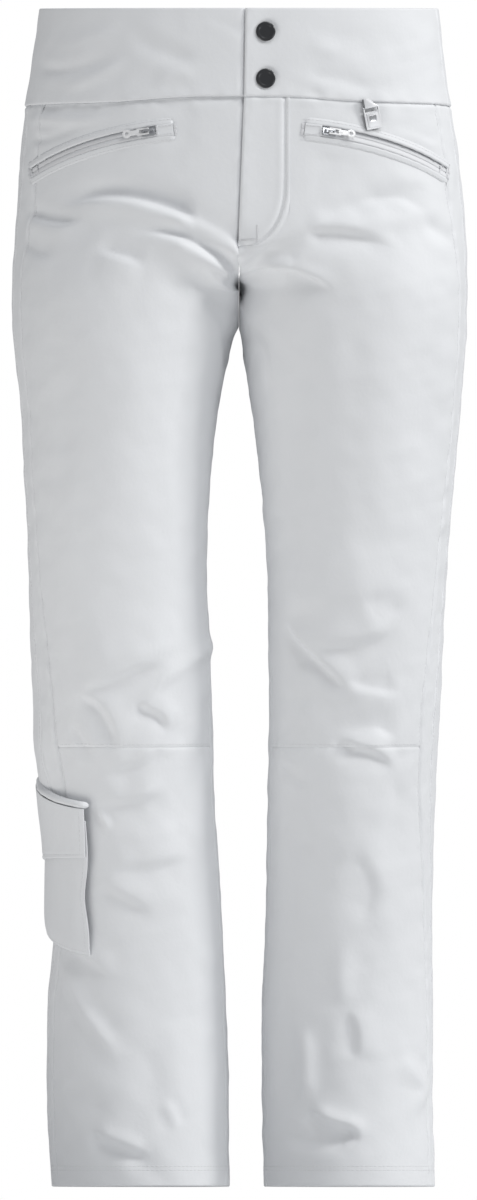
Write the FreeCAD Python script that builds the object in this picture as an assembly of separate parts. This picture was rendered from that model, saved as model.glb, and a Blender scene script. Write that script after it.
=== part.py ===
import FreeCAD, Part
import math
import os

os.makedirs("parts", exist_ok=True)
V = FreeCAD.Vector

# ---------------------------------------------------------------- driving dimensions, mm
# Women's ski pants, wide contoured waistband, boot-cut legs. +Z up, front faces -Y,
# wearer's right is -X. The origin is the centre of the waist opening.
CLOTH_T = 2.0            # shell laminate with its lining
FACING_T = 1.2
SEAM = 0.5               # gap left at a sewn seam between two panels
WAISTBAND_H = 76.0       # depth of the contoured waistband
HEM_Z = -1024.0
KNEE_AXIS_Z = -570.0     # bend line of the leg
KNEE_AXIS_Y = -8.0
KNEE_BEND_DEG = 75.0
KNEE_SEAM_Z = -642.0     # sewn seam below the knee cap
CROTCH_Z = -240.0
SPLIT_Z = -150.0         # where the front starts to curve towards the crotch
FLY_W = 44.0             # width of the fly placket
FLY_BOTTOM_Z = -203.0
SNAP_X = 23.2
SNAP_Z = (-20.4, -61.2)
SNAP_CAP_D = 17.0
FLY_ZIP_X = 12.0
FLY_ZIP_Y = -101.5
FLY_ZIP_TOP, FLY_ZIP_BOTTOM = -84.0, -190.0
POCKET_TOP_Z, POCKET_BOTTOM_Z = -686.0, -806.0
POCKET_SLANT = 0.29       # its seams run down towards the front
FLAP_TOP_Z, FLAP_END_Z, FLAP_END_SLANT = -675.0, -741.0, -0.05
POCKET_OUT = 8.0         # how far the cargo pocket stands off the leg

# z stations, and at each one: outer half width right and left, inner edge right and left,
# front and back depth, and the depth of the side seam line
Z_ST = [0, -40, -80, -120, -160, -200, -240, -280, -320, -360, -400, -450, -500, -560, -620, -680, -740, -800, -870, -940, -1030]
OUT_R = [175, 180.5, 186.5, 190.5, 193.2, 196.5, 199, 198, 194, 190.3, 188.6, 185.5, 183.9, 181.5, 177.5, 167.0, 162.5, 163, 168.5, 168.8, 164]
OUT_L = [175, 179.5, 186, 192.3, 196.5, 199.5, 201, 200.2, 197.2, 193, 189.5, 185, 181.6, 178, 175.5, 172.3, 170.3, 169.8, 169.8, 170.3, 172.3]
IN_R = [0, 0, 0, 0, 0, 0, 0.6, 5, 12.5, 18.6, 23.5, 26.6, 27.1, 24.4, 22.9, 21.9, 17.3, 14, 11, 8.4, 7.6]
IN_L = [0, 0, 0, 0, 0, 0, 0.6, 2.6, 6.8, 12.6, 17.3, 21.8, 24.8, 25.1, 26.2, 25.5, 24, 22.6, 20.4, 20, 21.8]
Y_F = [-112, -112, -112, -112, -112, -112, -112, -110, -107, -103, -100, -96, -92, -87, -83, -79, -76, -74, -73, -74, -76]
Y_B = [104, 112, 120, 127, 131, 131, 126, 113, 102, 94, 88, 81, 75, 70, 69, 72, 76, 79, 81, 82, 84]
Y_C = [0, 0, 0, 2, 4, 5, 5, 2, -2, -4, -6, -8, -8, -8, -7, -4, 0, 2, 4, 4, 4]
# side panel: angle of its front and back seam ahead of the outermost line, degrees
SIDE_F = [24, 24, 24, 24, 24, 24, 24, 24, 24, 24, 25, 27, 30, 36, 40, 38, 32, 27, 24, 23, 22]
SIDE_W = [13, 13, 13, 13, 13, 13, 13, 13, 13, 13, 13, 14, 15, 16, 16, 15, 14, 13, 12, 12, 12]
BULGE = [2.35, 2.35, 2.35, 2.35, 2.35, 2.3, 2.25, 2.2, 2.15, 2.1, 2.1, 2.1, 2.1, 2.1, 2.1, 2.1, 2.1, 2.1, 2.1, 2.1, 2.1]


def slopes(xs, ys):
    n = len(xs)
    d = [(ys[i + 1] - ys[i]) / (xs[i + 1] - xs[i]) for i in range(n - 1)]
    m = [d[0]] + [0.0] * (n - 2) + [d[-1]]
    for i in range(1, n - 1):
        m[i] = 0.0 if d[i - 1] * d[i] <= 0 else 2 * d[i - 1] * d[i] / (d[i - 1] + d[i])
    return m


ZP = [-z for z in Z_ST]
TABLES = {k: (t, slopes(ZP, t)) for k, t in dict(oR=OUT_R, oL=OUT_L, iR=IN_R, iL=IN_L, yf=Y_F, yb=Y_B, yc=Y_C, sf=SIDE_F, sw=SIDE_W, n=BULGE).items()}


def at(key, z):
    ys, m = TABLES[key]
    x = min(max(-z, ZP[0]), ZP[-1])
    i = 0
    while i < len(ZP) - 2 and x > ZP[i + 1]:
        i += 1
    h = ZP[i + 1] - ZP[i]
    t = (x - ZP[i]) / h
    return (2 * t**3 - 3 * t**2 + 1) * ys[i] + (t**3 - 2 * t**2 + t) * h * m[i] + (3 * t**2 - 2 * t**3) * ys[i + 1] + (t**3 - t**2) * h * m[i + 1]


def section(side, z):
    k = "R" if side < 0 else "L"
    w, n, yc = at("o" + k, z), at("n", z), at("yc", z)
    if z <= CROTCH_Z:
        i = at("i" + k, z)
        cx, a, s = (w + i) / 2, (w - i) / 2, 1.0
    else:
        t = min(max((SPLIT_Z - z) / (SPLIT_Z - CROTCH_Z), 0), 1)
        s = t**2
        a = w / (1 + s)
        cx = s * a
    phi0 = math.acos(min(1.0, s ** (n / 2)))
    return cx, a, yc, yc - at("yf", z), at("yb", z) - yc, n, phi0


def shear(y, z):
    top = 0.042 * (y + 112.0) * max(0.0, 1 + z / 76.0)
    low = -0.05 * (y + 76.0) * min(1.0, max(0.0, (-900 - z) / 122.0))
    return z + top + low


def surf(side, z, phi):
    cx, a, yc, bf, br, n, _ = section(side, z)
    c, s = math.cos(phi), math.sin(phi)
    x = cx - a * math.copysign(abs(c) ** (2 / n), c)
    b = bf if s > 0 else br
    y = yc - b * math.copysign(abs(s) ** (2 / n), s)
    x = 0.3 + x * 0.998
    return V(side * x, y, shear(y, z))


def normal(side, z, phi):
    e = 0.01
    a, b = surf(side, z, phi + e), surf(side, z, phi - e)
    c, d = surf(side, z + 0.8, phi), surf(side, z - 0.8, phi)
    n = (a - b).cross(c - d)
    n.normalize()
    return n.negative() if side < 0 else n


def phi_at_x(side, z, x):
    cx, a, _, _, _, n, _ = section(side, z)
    r = (cx - (x - 0.3) / 0.998) / a
    return math.acos(max(-1.0, min(1.0, math.copysign(min(1.0, abs(r)) ** (n / 2), r))))


def seam_front(z):
    return math.pi - math.radians(at("sf", z))


def seam_back(z):
    return math.pi - math.radians(at("sf", z) - at("sw", z))


def solid_of(faces):
    shell = Part.makeShell(faces)
    shell.sewShape()
    solid = Part.Solid(shell)
    if solid.Volume < 0:
        solid.reverse()
    return solid


def surface(grid, net):
    """Smooth surface through a grid of points, or, as a net, with the grid as its control points."""
    s = Part.BSplineSurface()
    if net:
        nu, nv = len(grid), len(grid[0])
        s.buildFromPolesMultsKnots(grid, [4] + [1] * (nu - 4) + [4], [4] + [1] * (nv - 4) + [4],
                                   list(range(nu - 2)), list(range(nv - 2)), False, False, 3, 3)
    else:
        s.interpolate(grid)
    return s


def slab(outer, inner, net=False):
    """Solid between two grids of points."""
    so, si = surface(outer, net), surface(inner, net)
    fo, fi = so.toShape(), si.toShape()
    faces = [fo, fi]
    u0, u1, v0, v1 = so.bounds()
    p0, p1, q0, q1 = si.bounds()
    for a, b in ((so.uIso(u0), si.uIso(p0)), (so.uIso(u1), si.uIso(p1)), (so.vIso(v0), si.vIso(q0)), (so.vIso(v1), si.vIso(q1))):
        faces.append(Part.makeRuledSurface(a.toShape(), b.toShape()))
    return solid_of(faces)


def stations(side, edge, z0, z1, n):
    """Heights of n points evenly spaced along an edge line."""
    m = max(40, int(abs(z1 - z0) / 0.5))
    zs = [z0 + (z1 - z0) * i / m for i in range(m + 1)]
    pts = [surf(side, z, edge(z)) for z in zs]
    acc = [0.0]
    for i in range(m):
        acc.append(acc[-1] + (pts[i + 1] - pts[i]).Length)
    out, k = [], 0
    for j in range(n):
        want = acc[-1] * j / (n - 1)
        while k < m - 1 and acc[k + 1] < want:
            k += 1
        f = (want - acc[k]) / max(1e-9, acc[k + 1] - acc[k])
        out.append(zs[k] + (zs[k + 1] - zs[k]) * min(1.0, f))
    return out


def offset_slab(grid, side, off, t, net=False):
    """Cloth of thickness t whose outer face lies off mm outside a grid of points."""
    nr, nc = len(grid), len(grid[0])
    outer, inner = [], []
    for j in range(nr):
        ro, ri = [], []
        for i in range(nc):
            du = grid[j][min(i + 1, nc - 1)] - grid[j][max(i - 1, 0)]
            dv = grid[max(j - 1, 0)][i] - grid[min(j + 1, nr - 1)][i]
            n = du.cross(dv)
            n.normalize()
            if side < 0:
                n = n.negative()
            a, b = grid[j][i] + n * off, grid[j][i] + n * (off - t)
            for q in (a, b):
                clear = 0.3 + 1.5 * max(0.0, 1 - abs(q.z - CROTCH_Z + 5) / 75)
                if q.z > CROTCH_Z - 60 and side * q.x < clear:
                    q.x = side * clear
            ro.append(a)
            ri.append(b)
        outer.append(ro)
        inner.append(ri)
    return slab(outer, inner, net)


def panel(side, zs, lo, hi, nu, off=0.0, t=CLOTH_T, top=None, bottom=None, net=False):
    """Curved slab of cloth between edge lines lo(z) and hi(z), over the heights zs[0] to zs[-1]; top(y) and bottom(y) bend its ends."""
    n = len(zs)
    z0, z1 = zs[0], zs[-1]
    zl, zh = stations(side, lo, z0, z1, n), stations(side, hi, z0, z1, n)
    grid = []
    for j in range(n):
        row = []
        for i in range(nu):
            f = i / (nu - 1)
            zr = zl[j] + (zh[j] - zl[j]) * f
            phi = lo(zl[j]) + (hi(zh[j]) - lo(zl[j])) * f
            z = zr
            if top or bottom:
                reach = min(240.0, z0 - z1)
                for _ in range(8):
                    y = surf(side, z, phi).y
                    dt = (top(y) - z0) * max(0.0, 1 - (z0 - zr) / reach) ** 2 if top else 0.0
                    db = (bottom(y) - z1) * max(0.0, 1 - (zr - z1) / reach) ** 2 if bottom else 0.0
                    z = zr + dt + db
            row.append(surf(side, z, phi))
        grid.append(row)
    return offset_slab(grid, side, off, t, net)


def rows(a, b, n):
    return [a + (b - a) * i / (n - 1) for i in range(n)]


def box(x0, x1, y0, y1, z0, z1):
    return Part.makeBox(x1 - x0, y1 - y0, z1 - z0, V(x0, y0, z0))


def cyl(p, d, r, h):
    return Part.makeCylinder(r, h, p, d)


report = {}


def save(name, *shapes):
    solids = []
    for s in shapes:
        solids += s.Solids
    bad = [i for i, s in enumerate(solids) if not s.isValid() or s.Volume <= 0]
    shape = solids[0] if len(solids) == 1 else Part.makeCompound(solids)
    shape.exportStep("parts/" + name + ".step")
    report[name] = (len(solids), round(sum(s.Volume for s in solids) / 1000, 2))
    if bad or not solids:
        print("BAD", name, bad)


R, L = -1, 1
SIDES = ((R, "right"), (L, "left"))
E = math.radians(0.35)


def side_gap(z):
    """Gap beside the side panel, wider at the knee where its seams bow."""
    return math.radians(1.0 + 1.3 * max(0.0, 1 - abs(z + 575) / 150))




def inseam_gap(z):
    """Half the gap along the inseam, wider where the four panels meet at the crotch."""
    return E + math.radians(1.0) * max(0.0, 1 - abs(z - CROTCH_Z) / 60)


def phi0(side):
    return lambda z: section(side, z)[6] + (0 if z > CROTCH_Z + 60 else inseam_gap(z))


def phi_end(side):
    return lambda z: 2 * math.pi - section(side, z)[6] - (0 if z > CROTCH_Z + 60 else inseam_gap(z))


TAN_W = math.tan(math.radians(KNEE_BEND_DEG / 2 + 1.5))


def wedge(y):
    """Half height of the room left behind the knee for its bend."""
    d = y - KNEE_AXIS_Y - 2.0
    return 0.6 + (d + math.sqrt(d * d + 64.0)) / 2 * TAN_W


def thigh_end(y):
    return KNEE_AXIS_Z + wedge(y)


def shin_start(y):
    return KNEE_AXIS_Z - wedge(y)


# ---------------------------------------------------------------- waistband
Z_W = rows(0, -WAISTBAND_H, 5)
Z_IN = rows(-1.5, -WAISTBAND_H + 1.0, 4)
save("waistband_right", panel(R, Z_W, phi0(R), phi_end(R), 19))
save("waistband_left", panel(L, Z_W, lambda z: phi_at_x(L, z, FLY_W + 0.7), phi_end(L), 17))
save("waistband_facing",
     panel(R, Z_IN, lambda z: phi_at_x(R, z, 34.0), phi_end(R), 17, off=-2.6, t=FACING_T),
     panel(L, Z_IN, lambda z: phi_at_x(L, z, FLY_W + 6), phi_end(L), 17, off=-2.6, t=FACING_T))

# ---------------------------------------------------------------- hand pocket zips: each lies on an arc of a circle
ZIP_END_IN, ZIP_MID, ZIP_END_OUT = (63.0, -105.5), (124.0, -117.0), (180.0, -140.5)
TAPE_T, COIL_T = 0.6, 1.3


def arc_of(side):
    pts = []
    for x, z in (ZIP_END_IN, ZIP_MID, ZIP_END_OUT):
        pts.append(surf(side, z, phi_at_x(side, z, x)))
    a, b, c = pts
    n = (b - a).cross(c - a)
    area2 = n.Length
    n.normalize()
    d1, d2 = b - a, c - a
    u = (d2 * d1.dot(d1) - d1 * d2.dot(d2)).cross(d1.cross(d2)) * (1 / (2 * area2**2))
    centre = a + u
    radius = (a - centre).Length
    return centre, n, radius, a, c


class Zip:
    """Arc frame of a curved zip: at(s) is a point s mm along the arc from its inner end, with its outward, along and across directions."""

    def __init__(self, side):
        self.c, self.n, self.r, a, b = arc_of(side)
        e1 = a - self.c
        e1.normalize()
        e2 = self.n.cross(e1)
        ang = math.atan2((b - self.c).dot(e2), (b - self.c).dot(e1))
        self.e1, self.e2, self.len = e1, e2, abs(ang) * self.r
        self.sign = 1 if ang > 0 else -1

    def dirs(self, s):
        w = self.sign * s / self.r
        out = self.e1 * math.cos(w) + self.e2 * math.sin(w)
        along = (self.e1 * -math.sin(w) + self.e2 * math.cos(w)) * self.sign
        return out, along

    def at(self, s, out=0.0, across=0.0):
        o, _ = self.dirs(s)
        return self.c + o * (self.r + out) + self.n * across

    def bar(self, s0, s1, o0, o1, c0, c1):
        pts = [self.at(s0, o0, c0), self.at(s0, o1, c0), self.at(s0, o1, c1), self.at(s0, o0, c1)]
        face = Part.Face(Part.makePolygon(pts + [pts[0]]))
        solid = face.revolve(self.c, self.n, math.degrees(self.sign * (s1 - s0) / self.r))
        if solid.Volume < 0:
            solid.reverse()
        return solid


SURFACE_OUT = 1.4        # cloth face above the middle of the zip's chain
ZIPS = {R: Zip(R), L: Zip(L)}
for side, _ in SIDES:
    ZIPS[side].r -= SURFACE_OUT
SLIDER_S = 15.5          # slider's middle, along the arc from the inner end
TRAVEL_S = 98.0

# ---------------------------------------------------------------- front, side and back panels above the knee
Z_FRONT = rows(-76.6, KNEE_AXIS_Z, 24)
Z_BACK = rows(-76.6, KNEE_AXIS_Z, 40)
for side, name in SIDES:
    f = panel(side, Z_FRONT, phi0(side), seam_front, 14, bottom=thigh_end)
    z = ZIPS[side]
    slot = z.bar(-9, z.len + 5, -8, 8, -10.4, 10.4)
    f = f.cut(slot)
    if side == L:
        f = f.cut(box(-5, FLY_W + 0.7, -140, -80, FLY_BOTTOM_Z - 0.5, -60))
    save("front_" + name, f)
    save("back_" + name, panel(side, Z_BACK, lambda z: seam_back(z) + side_gap(z), phi_end(side), 20, bottom=thigh_end, net=True))
    save("side_panel_" + name, panel(side, [-76.6, -120, -170, -220, -270, -320, -370, -420, -470, -520, KNEE_AXIS_Z],
                                     lambda z: seam_front(z) + side_gap(z), seam_back, 4, bottom=thigh_end).cut(slot))

# ---------------------------------------------------------------- legs below the knee
Z_SHIN = rows(KNEE_AXIS_Z, HEM_Z, 14)
for side, name in SIDES:
    save(name + "_knee_panel", panel(side, rows(KNEE_AXIS_Z, KNEE_SEAM_Z + 0.3, 5), lambda z: E, seam_front, 11, top=shin_start))
    save(name + "_front_shin", panel(side, rows(KNEE_SEAM_Z - 0.3, HEM_Z, 12), lambda z: E, seam_front, 11))
    save(name + "_side_shin", panel(side, Z_SHIN, lambda z: seam_front(z) + side_gap(z), seam_back, 4, top=shin_start))
    save(name + "_back_shin", panel(side, Z_SHIN, lambda z: seam_back(z) + side_gap(z), lambda z: 2 * math.pi - E, 14, top=shin_start))

    def mid(z, k=0.0):
        cx, a, yc, bf, br, n, _ = section(side, z)
        return math.pi + math.asin(min(1.0, (KNEE_AXIS_Y + 10 - yc) / br)) + k

    save(name + "_knee_gusset", panel(side, rows(KNEE_AXIS_Z + 10, KNEE_AXIS_Z - 10, 7), lambda z: mid(z), lambda z: 2 * math.pi - (mid(z) - math.pi), 12, t=1.6, off=-0.2,
                                      top=lambda y: thigh_end(y) - 1.2, bottom=lambda y: shin_start(y) + 1.2))

# ---------------------------------------------------------------- snow gaiters inside the hems


def ring(side, levels, t):
    """Closed sleeve of thickness t through levels of (z, inward offset)."""
    def loop(z, off):
        pts = []
        for k in range(24):
            phi = 2 * math.pi * k / 24
            p, n = surf(side, z, phi), normal(side, z, phi)
            pts.append(V(p.x - n.x * off, p.y - n.y * off, z))
        c = Part.BSplineCurve()
        c.interpolate(pts, PeriodicFlag=True)
        return Part.Wire([c.toShape()])
    wo = [loop(z, o) for z, o in levels]
    wi = [loop(z, o + t) for z, o in levels]
    faces = Part.makeLoft(wo, False, False).Faces + Part.makeLoft(wi, False, False).Faces
    for k in (0, -1):
        f = Part.Face(wo[k]).cut(Part.Face(wi[k]))
        faces += f.Faces
    return solid_of(faces)


for side, name in SIDES:
    save(name + "_gaiter", ring(side, [(-868, 3.2), (-900, 5.5), (-940, 10.5), (-985, 16)], 1.0))
    save(name + "_gaiter_elastic", ring(side, [(-985.6, 15.4), (-1005, 17.4)], 2.2))
    hook = []
    cx = section(side, -1000)[0] + 0.3
    yf = surf(side, -1000, math.pi / 2).y + 16.4
    base = box(side * cx - 5, side * cx + 5, yf - 1.6, yf - 0.4, -1004, -994)
    stem = box(side * cx - 1.2, side * cx + 1.2, yf - 1.6, yf - 0.4, -1013, -1004)
    lip = box(side * cx - 2.6, side * cx + 2.6, yf - 5.2, yf - 0.4, -1015, -1013)
    tip = box(side * cx - 2.6, side * cx + 2.6, yf - 5.2, yf - 4.0, -1013, -1009)
    save(name + "_lace_hook", base.fuse(stem).fuse(lip).fuse(tip).removeSplitter())

# ---------------------------------------------------------------- fly: underlap, shield, zip, placket, snaps
under = box(-32, 40, -107.0, -105.2, -74.5, -7.5)
for z in SNAP_Z:
    under = under.cut(cyl(V(SNAP_X, -108, z), V(0, 1, 0), 1.9, 4))
save("waistband_underlap", under)
save("fly_shield", box(-16, 40, -97.4, -95.8, -206, -79))
zx, zy = FLY_ZIP_X, FLY_ZIP_Y


def local(origin, out, along):
    """Matrix from a zip's own frame (x across, y outward, z back along the track) to the row frame."""
    across = out.cross(along * -1)
    m = FreeCAD.Matrix(across.x, out.x, -along.x, origin.x, across.y, out.y, -along.y, origin.y, across.z, out.z, -along.z, origin.z, 0, 0, 0, 1)
    return m


def slider():
    top = box(-4.2, 4.2, 1.5, 2.7, -6, 6)
    low = box(-4.2, 4.2, -2.7, -1.5, -6, 6)
    post = box(-0.35, 0.35, -1.6, 1.6, 3.2, 5.8)
    arch = box(-0.8, 0.8, 2.6, 5.9, -4.6, 4.6).cut(box(-1, 1, 2.7, 4.9, -2.9, 2.9))
    body = top.fuse(low).fuse(post).fuse(arch).removeSplitter()
    edges = [e for e in body.Edges if abs(e.Length - 1.2) < 1e-3 and abs(abs(e.Vertexes[0].X) - 4.2) < 1e-3]
    try:
        body = body.makeFillet(2.0, edges)
    except Exception:
        print("slider fillet skipped")
    return body


PULL_Y = 3.8
EYE_Z, EYE_R, EYE_RO, PULL_T = -19.0, 1.7, 3.9, 1.1


def pull():
    bar = cyl(V(-3.1, PULL_Y, 0), V(1, 0, 0), 0.6, 6.2)
    arms = box(-3.1, -1.7, PULL_Y - PULL_T / 2, PULL_Y + PULL_T / 2, -8, 0.3).fuse(box(1.7, 3.1, PULL_Y - PULL_T / 2, PULL_Y + PULL_T / 2, -8, 0.3))
    neck = box(-2.3, 2.3, PULL_Y - PULL_T / 2, PULL_Y + PULL_T / 2, EYE_Z, -8)
    shoulder = box(-3.1, 3.1, PULL_Y - PULL_T / 2, PULL_Y + PULL_T / 2, -10, -7.9)
    eye = cyl(V(0, PULL_Y - PULL_T / 2, EYE_Z), V(0, 1, 0), EYE_RO, PULL_T)
    hole = cyl(V(0, PULL_Y - 2, EYE_Z), V(0, 1, 0), EYE_R, 4)
    return bar.fuse(arms).fuse(shoulder).fuse(neck).fuse(eye).cut(hole).removeSplitter()


def placed(shape, m):
    return shape.transformed(m)


fly_frame = local(V(zx, zy, FLY_ZIP_TOP - 6.4), V(0, -1, 0), V(0, 0, -1))
save("fly_zip_slider", placed(slider(), fly_frame))
save("fly_zip_pull", placed(pull(), fly_frame))
zt, zb = FLY_ZIP_TOP, FLY_ZIP_BOTTOM
save("fly_zip_teeth",
     box(zx + 0.6, zx + 2.7, zy - 0.3, zy + 1.0, zb, zt), box(zx - 2.7, zx - 0.6, zy - 0.3, zy + 1.0, zb, zt),
     box(zx - 2.7, zx + 2.7, zy - 1.6, zy + 1.6, zb - 4.2, zb - 0.3), box(zx + 0.5, zx + 2.8, zy - 1.5, zy + 1.5, zt + 0.3, zt + 3.2), box(zx - 2.8, zx - 0.5, zy - 1.5, zy + 1.5, zt + 0.3, zt + 3.2))
save("fly_zip_tapes", box(zx + 2.9, zx + 15, zy - 1.0, zy - 0.4, zb - 9, zt + 5), box(zx - 15, zx - 2.9, zy - 1.0, zy - 0.4, zb - 9, zt + 5))

tab = panel(L, rows(0, -WAISTBAND_H, 5), lambda z: phi_at_x(L, z, 0.4), lambda z: phi_at_x(L, z, FLY_W), 6)
caps, sockets, studs = [], [], []
for z in SNAP_Z:
    tab = tab.cut(cyl(V(SNAP_X, -116, z), V(0, 1, 0), 1.9, 10))
    ys = -112.25
    dome = Part.makeCylinder(SNAP_CAP_D / 2, 1.0, V(SNAP_X, ys, z), V(0, -1, 0))
    top_ = Part.makeCone(SNAP_CAP_D / 2, SNAP_CAP_D / 2 - 1.6, 0.8, V(SNAP_X, ys - 1.0, z), V(0, -1, 0))
    shank = cyl(V(SNAP_X, ys, z), V(0, 1, 0), 1.7, 3.0)
    caps.append(dome.fuse(top_).fuse(shank).removeSplitter())
    s = cyl(V(SNAP_X, -109.15, z), V(0, 1, 0), 5.5, 1.6).cut(cyl(V(SNAP_X, -108.75, z), V(0, 1, 0), 2.95, 3))
    sockets.append(s)
    st = cyl(V(SNAP_X, -107.05, z), V(0, -1, 0), 5.0, 0.2).fuse(cyl(V(SNAP_X, -107.05, z), V(0, -1, 0), 2.6, 1.5))
    st = st.fuse(cyl(V(SNAP_X, -107.05, z), V(0, 1, 0), 1.7, 2.4)).fuse(cyl(V(SNAP_X, -105.1, z), V(0, 1, 0), 5.0, 0.7)).removeSplitter()
    studs.append(st)
save("waist_tab", tab)
save("snap_caps", *caps)
save("snap_sockets", *sockets)
save("snap_studs", *studs)
zz = rows(-WAISTBAND_H - 0.6, FLY_BOTTOM_Z, 9)
save("fly_placket", panel(L, zz, lambda z: max(phi_at_x(L, z, 0.4), section(L, z)[6]), lambda z: phi_at_x(L, z, FLY_W), 6))

# ---------------------------------------------------------------- hand pocket zips and bags
bags, tabs = [], []
for side, name in SIDES:
    z = ZIPS[side]
    save(name + "_zip_tapes", z.bar(-2, z.len + 1, 0.4, 1.0, 0.8, 9.8), z.bar(-2, z.len + 1, 0.4, 1.0, -9.8, -0.8))
    save(name + "_zip_welts", z.bar(-8.6, z.len + 4.6, 1.75, 2.6, 4.6, 10.0), z.bar(-8.6, z.len + 4.6, 1.75, 2.6, -10.0, -4.6))
    save(name + "_zip_teeth", z.bar(SLIDER_S - 8, z.len - 0.5, -1.0, 0.2, 0.6, 2.7), z.bar(SLIDER_S - 8, z.len - 0.5, -1.0, 0.2, -2.7, -0.6))
    out, along = z.dirs(SLIDER_S)
    m = local(z.at(SLIDER_S), out, along)
    save(name + "_zip_slider", placed(slider(), m))
    save(name + "_zip_pull", placed(pull(), m))
    tabs += [z.bar(-8.5, -2.4, 0.2, 1.6, -4.5, 4.5), z.bar(z.len + 1.4, z.len + 4.5, 0.2, 1.6, -4.5, 4.5)]
    bags.append(panel(side, rows(-128, -238, 6), lambda zz_: phi_at_x(side, zz_, 78), lambda zz_: phi_at_x(side, zz_, 168), 8, off=-8.0, t=2.0))
    print(name, "zip centre", [round(q, 3) for q in z.c], "axis", [round(q, 5) for q in z.n], "r", round(z.r, 3), "len", round(z.len, 2), "sign", z.sign)
    o = z.at(SLIDER_S, PULL_Y)
    print(name, "pull hinge", [round(q, 3) for q in o], "across", [round(q, 5) for q in out.cross(along * -1)], "out", [round(q, 5) for q in out], "along", [round(q, 5) for q in along])
    e = z.at(SLIDER_S, PULL_Y) - (along * EYE_Z)
    print(name, "eye", [round(q, 4) for q in e])
save("zip_end_tabs", *tabs)
save("hand_pocket_bags", *bags)

# ---------------------------------------------------------------- hanging metal charm on its cloth loop
CHARM_X, CHARM_Z = 111.5, -78.0
CHARM_W, CHARM_H, CHARM_T = 15.0, 19.0, 1.6
CHARM_TILT_DEG = 12.0
CHARM_OUT = 3.4          # hinge bar's distance from the cloth
phi_c = phi_at_x(L, CHARM_Z, CHARM_X)
pc, nc = surf(L, CHARM_Z, phi_c), normal(L, CHARM_Z, phi_c)
nc = V(nc.x, nc.y, 0)
nc.normalize()
tilt = math.radians(CHARM_TILT_DEG)
up = V(0, 0, 1) * math.cos(tilt) + nc.cross(V(0, 0, 1)) * math.sin(tilt)
if up.x > 0:
    up = V(0, 0, 1) * math.cos(tilt) - nc.cross(V(0, 0, 1)) * math.sin(tilt)
cr = up.cross(nc)
axis_p = pc + nc * CHARM_OUT + up * -8.0
mc = FreeCAD.Matrix(cr.x, nc.x, up.x, axis_p.x, cr.y, nc.y, up.y, axis_p.y, cr.z, nc.z, up.z, axis_p.z, 0, 0, 0, 1)
# own frame: x across, y outward, z up, origin on the hinge bar
loop = cyl(V(-5.6, 0, 0), V(1, 0, 0), 2.4, 11.2).cut(cyl(V(-6, 0, 0), V(1, 0, 0), 1.35, 12)).cut(box(-7, 7, -3, 3, 0, 3))
loop = loop.fuse(box(-5.6, 5.6, -2.4, -1.35, 0, 8.0)).fuse(box(-5.6, 5.6, 1.35, 2.4, 0, 6.0)).fuse(box(-5.6, 5.6, -1.4, 2.4, 6.0, 8.0)).removeSplitter()
plate = box(-CHARM_W / 2, CHARM_W / 2, -CHARM_T / 2, CHARM_T / 2, -CHARM_H, 0).cut(box(-6.2, 6.2, -2, 2, -3.6, 3)).fuse(cyl(V(-CHARM_W / 2, 0, 0), V(1, 0, 0), 0.95, CHARM_W)).removeSplitter()
save("charm_loop", placed(loop, mc))
save("charm_plate", placed(plate, mc))
print("charm hinge", [round(q, 3) for q in axis_p], "across", [round(q, 5) for q in cr], "out", [round(q, 5) for q in nc])

# ---------------------------------------------------------------- hang loop inside the back waist
yb = surf(R, -12, phi_end(R)(-12)).y
save("hang_loop", box(-26, 26, yb - 7.4, yb - 6.4, -13, -6).fuse(box(-26, -18, yb - 6.4, yb - 4.2, -13, -6)).fuse(box(18, 26, yb - 6.4, yb - 4.2, -13, -6)).removeSplitter())

# ---------------------------------------------------------------- cargo pocket on the right shin
PSI_F, PSI_B = math.radians(64), math.radians(-44)


def pocket_slab(z0, z1, lo, hi, o0, o1, s0=None, s1=None, nz=7, nu=13):
    """Curved slab on the leg between heights z0 and z1, each slanted by s per mm of depth, from o0 to o1 mm off the leg."""
    s0 = POCKET_SLANT if s0 is None else s0
    s1 = POCKET_SLANT if s1 is None else s1
    outer, inner = [], []
    for j in range(nz):
        ro, ri = [], []
        for i in range(nu):
            phi = lo + (hi - lo) * i / (nu - 1)
            z = z0
            for _ in range(6):
                y = surf(R, z, phi).y
                z = z0 + s0 * y + (z1 + s1 * y - z0 - s0 * y) * j / (nz - 1)
            p, n = surf(R, z, phi), normal(R, z, phi)
            ro.append(p + n * o1)
            ri.append(p + n * o0)
        outer.append(ro)
        inner.append(ri)
    return slab(outer, inner)


LO, HI = math.pi - PSI_F, math.pi - PSI_B
G = 1 / 80.0             # one millimetre around the leg, in radians
body = pocket_slab(POCKET_TOP_Z, POCKET_BOTTOM_Z, LO, HI, 1.2, POCKET_OUT)
hollow = pocket_slab(POCKET_TOP_Z + 6, POCKET_BOTTOM_Z + 1.4, LO + 1.6 * G, HI - 1.6 * G, 2.3, POCKET_OUT - 1.2)
save("cargo_pocket", body.cut(hollow))
save("cargo_binding", pocket_slab(FLAP_TOP_Z + 5.0, FLAP_TOP_Z + 0.5, LO - G, HI + G, 1.2, POCKET_OUT + 3.4, nz=3))
save("cargo_flap", pocket_slab(FLAP_TOP_Z, FLAP_END_Z, LO - G, HI + G, POCKET_OUT + 1.9, POCKET_OUT + 3.3, s1=FLAP_END_SLANT))
save("cargo_hook_patch", pocket_slab(-718, -731, LO + 40 * G, HI - 40 * G, POCKET_OUT + 1.15, POCKET_OUT + 1.75, s0=0.0, s1=0.0, nz=3, nu=7))
save("cargo_loop_patch", pocket_slab(-718, -731, LO + 40 * G, HI - 40 * G, POCKET_OUT + 0.2, POCKET_OUT + 0.7, s0=0.0, s1=0.0, nz=3, nu=7))
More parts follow.
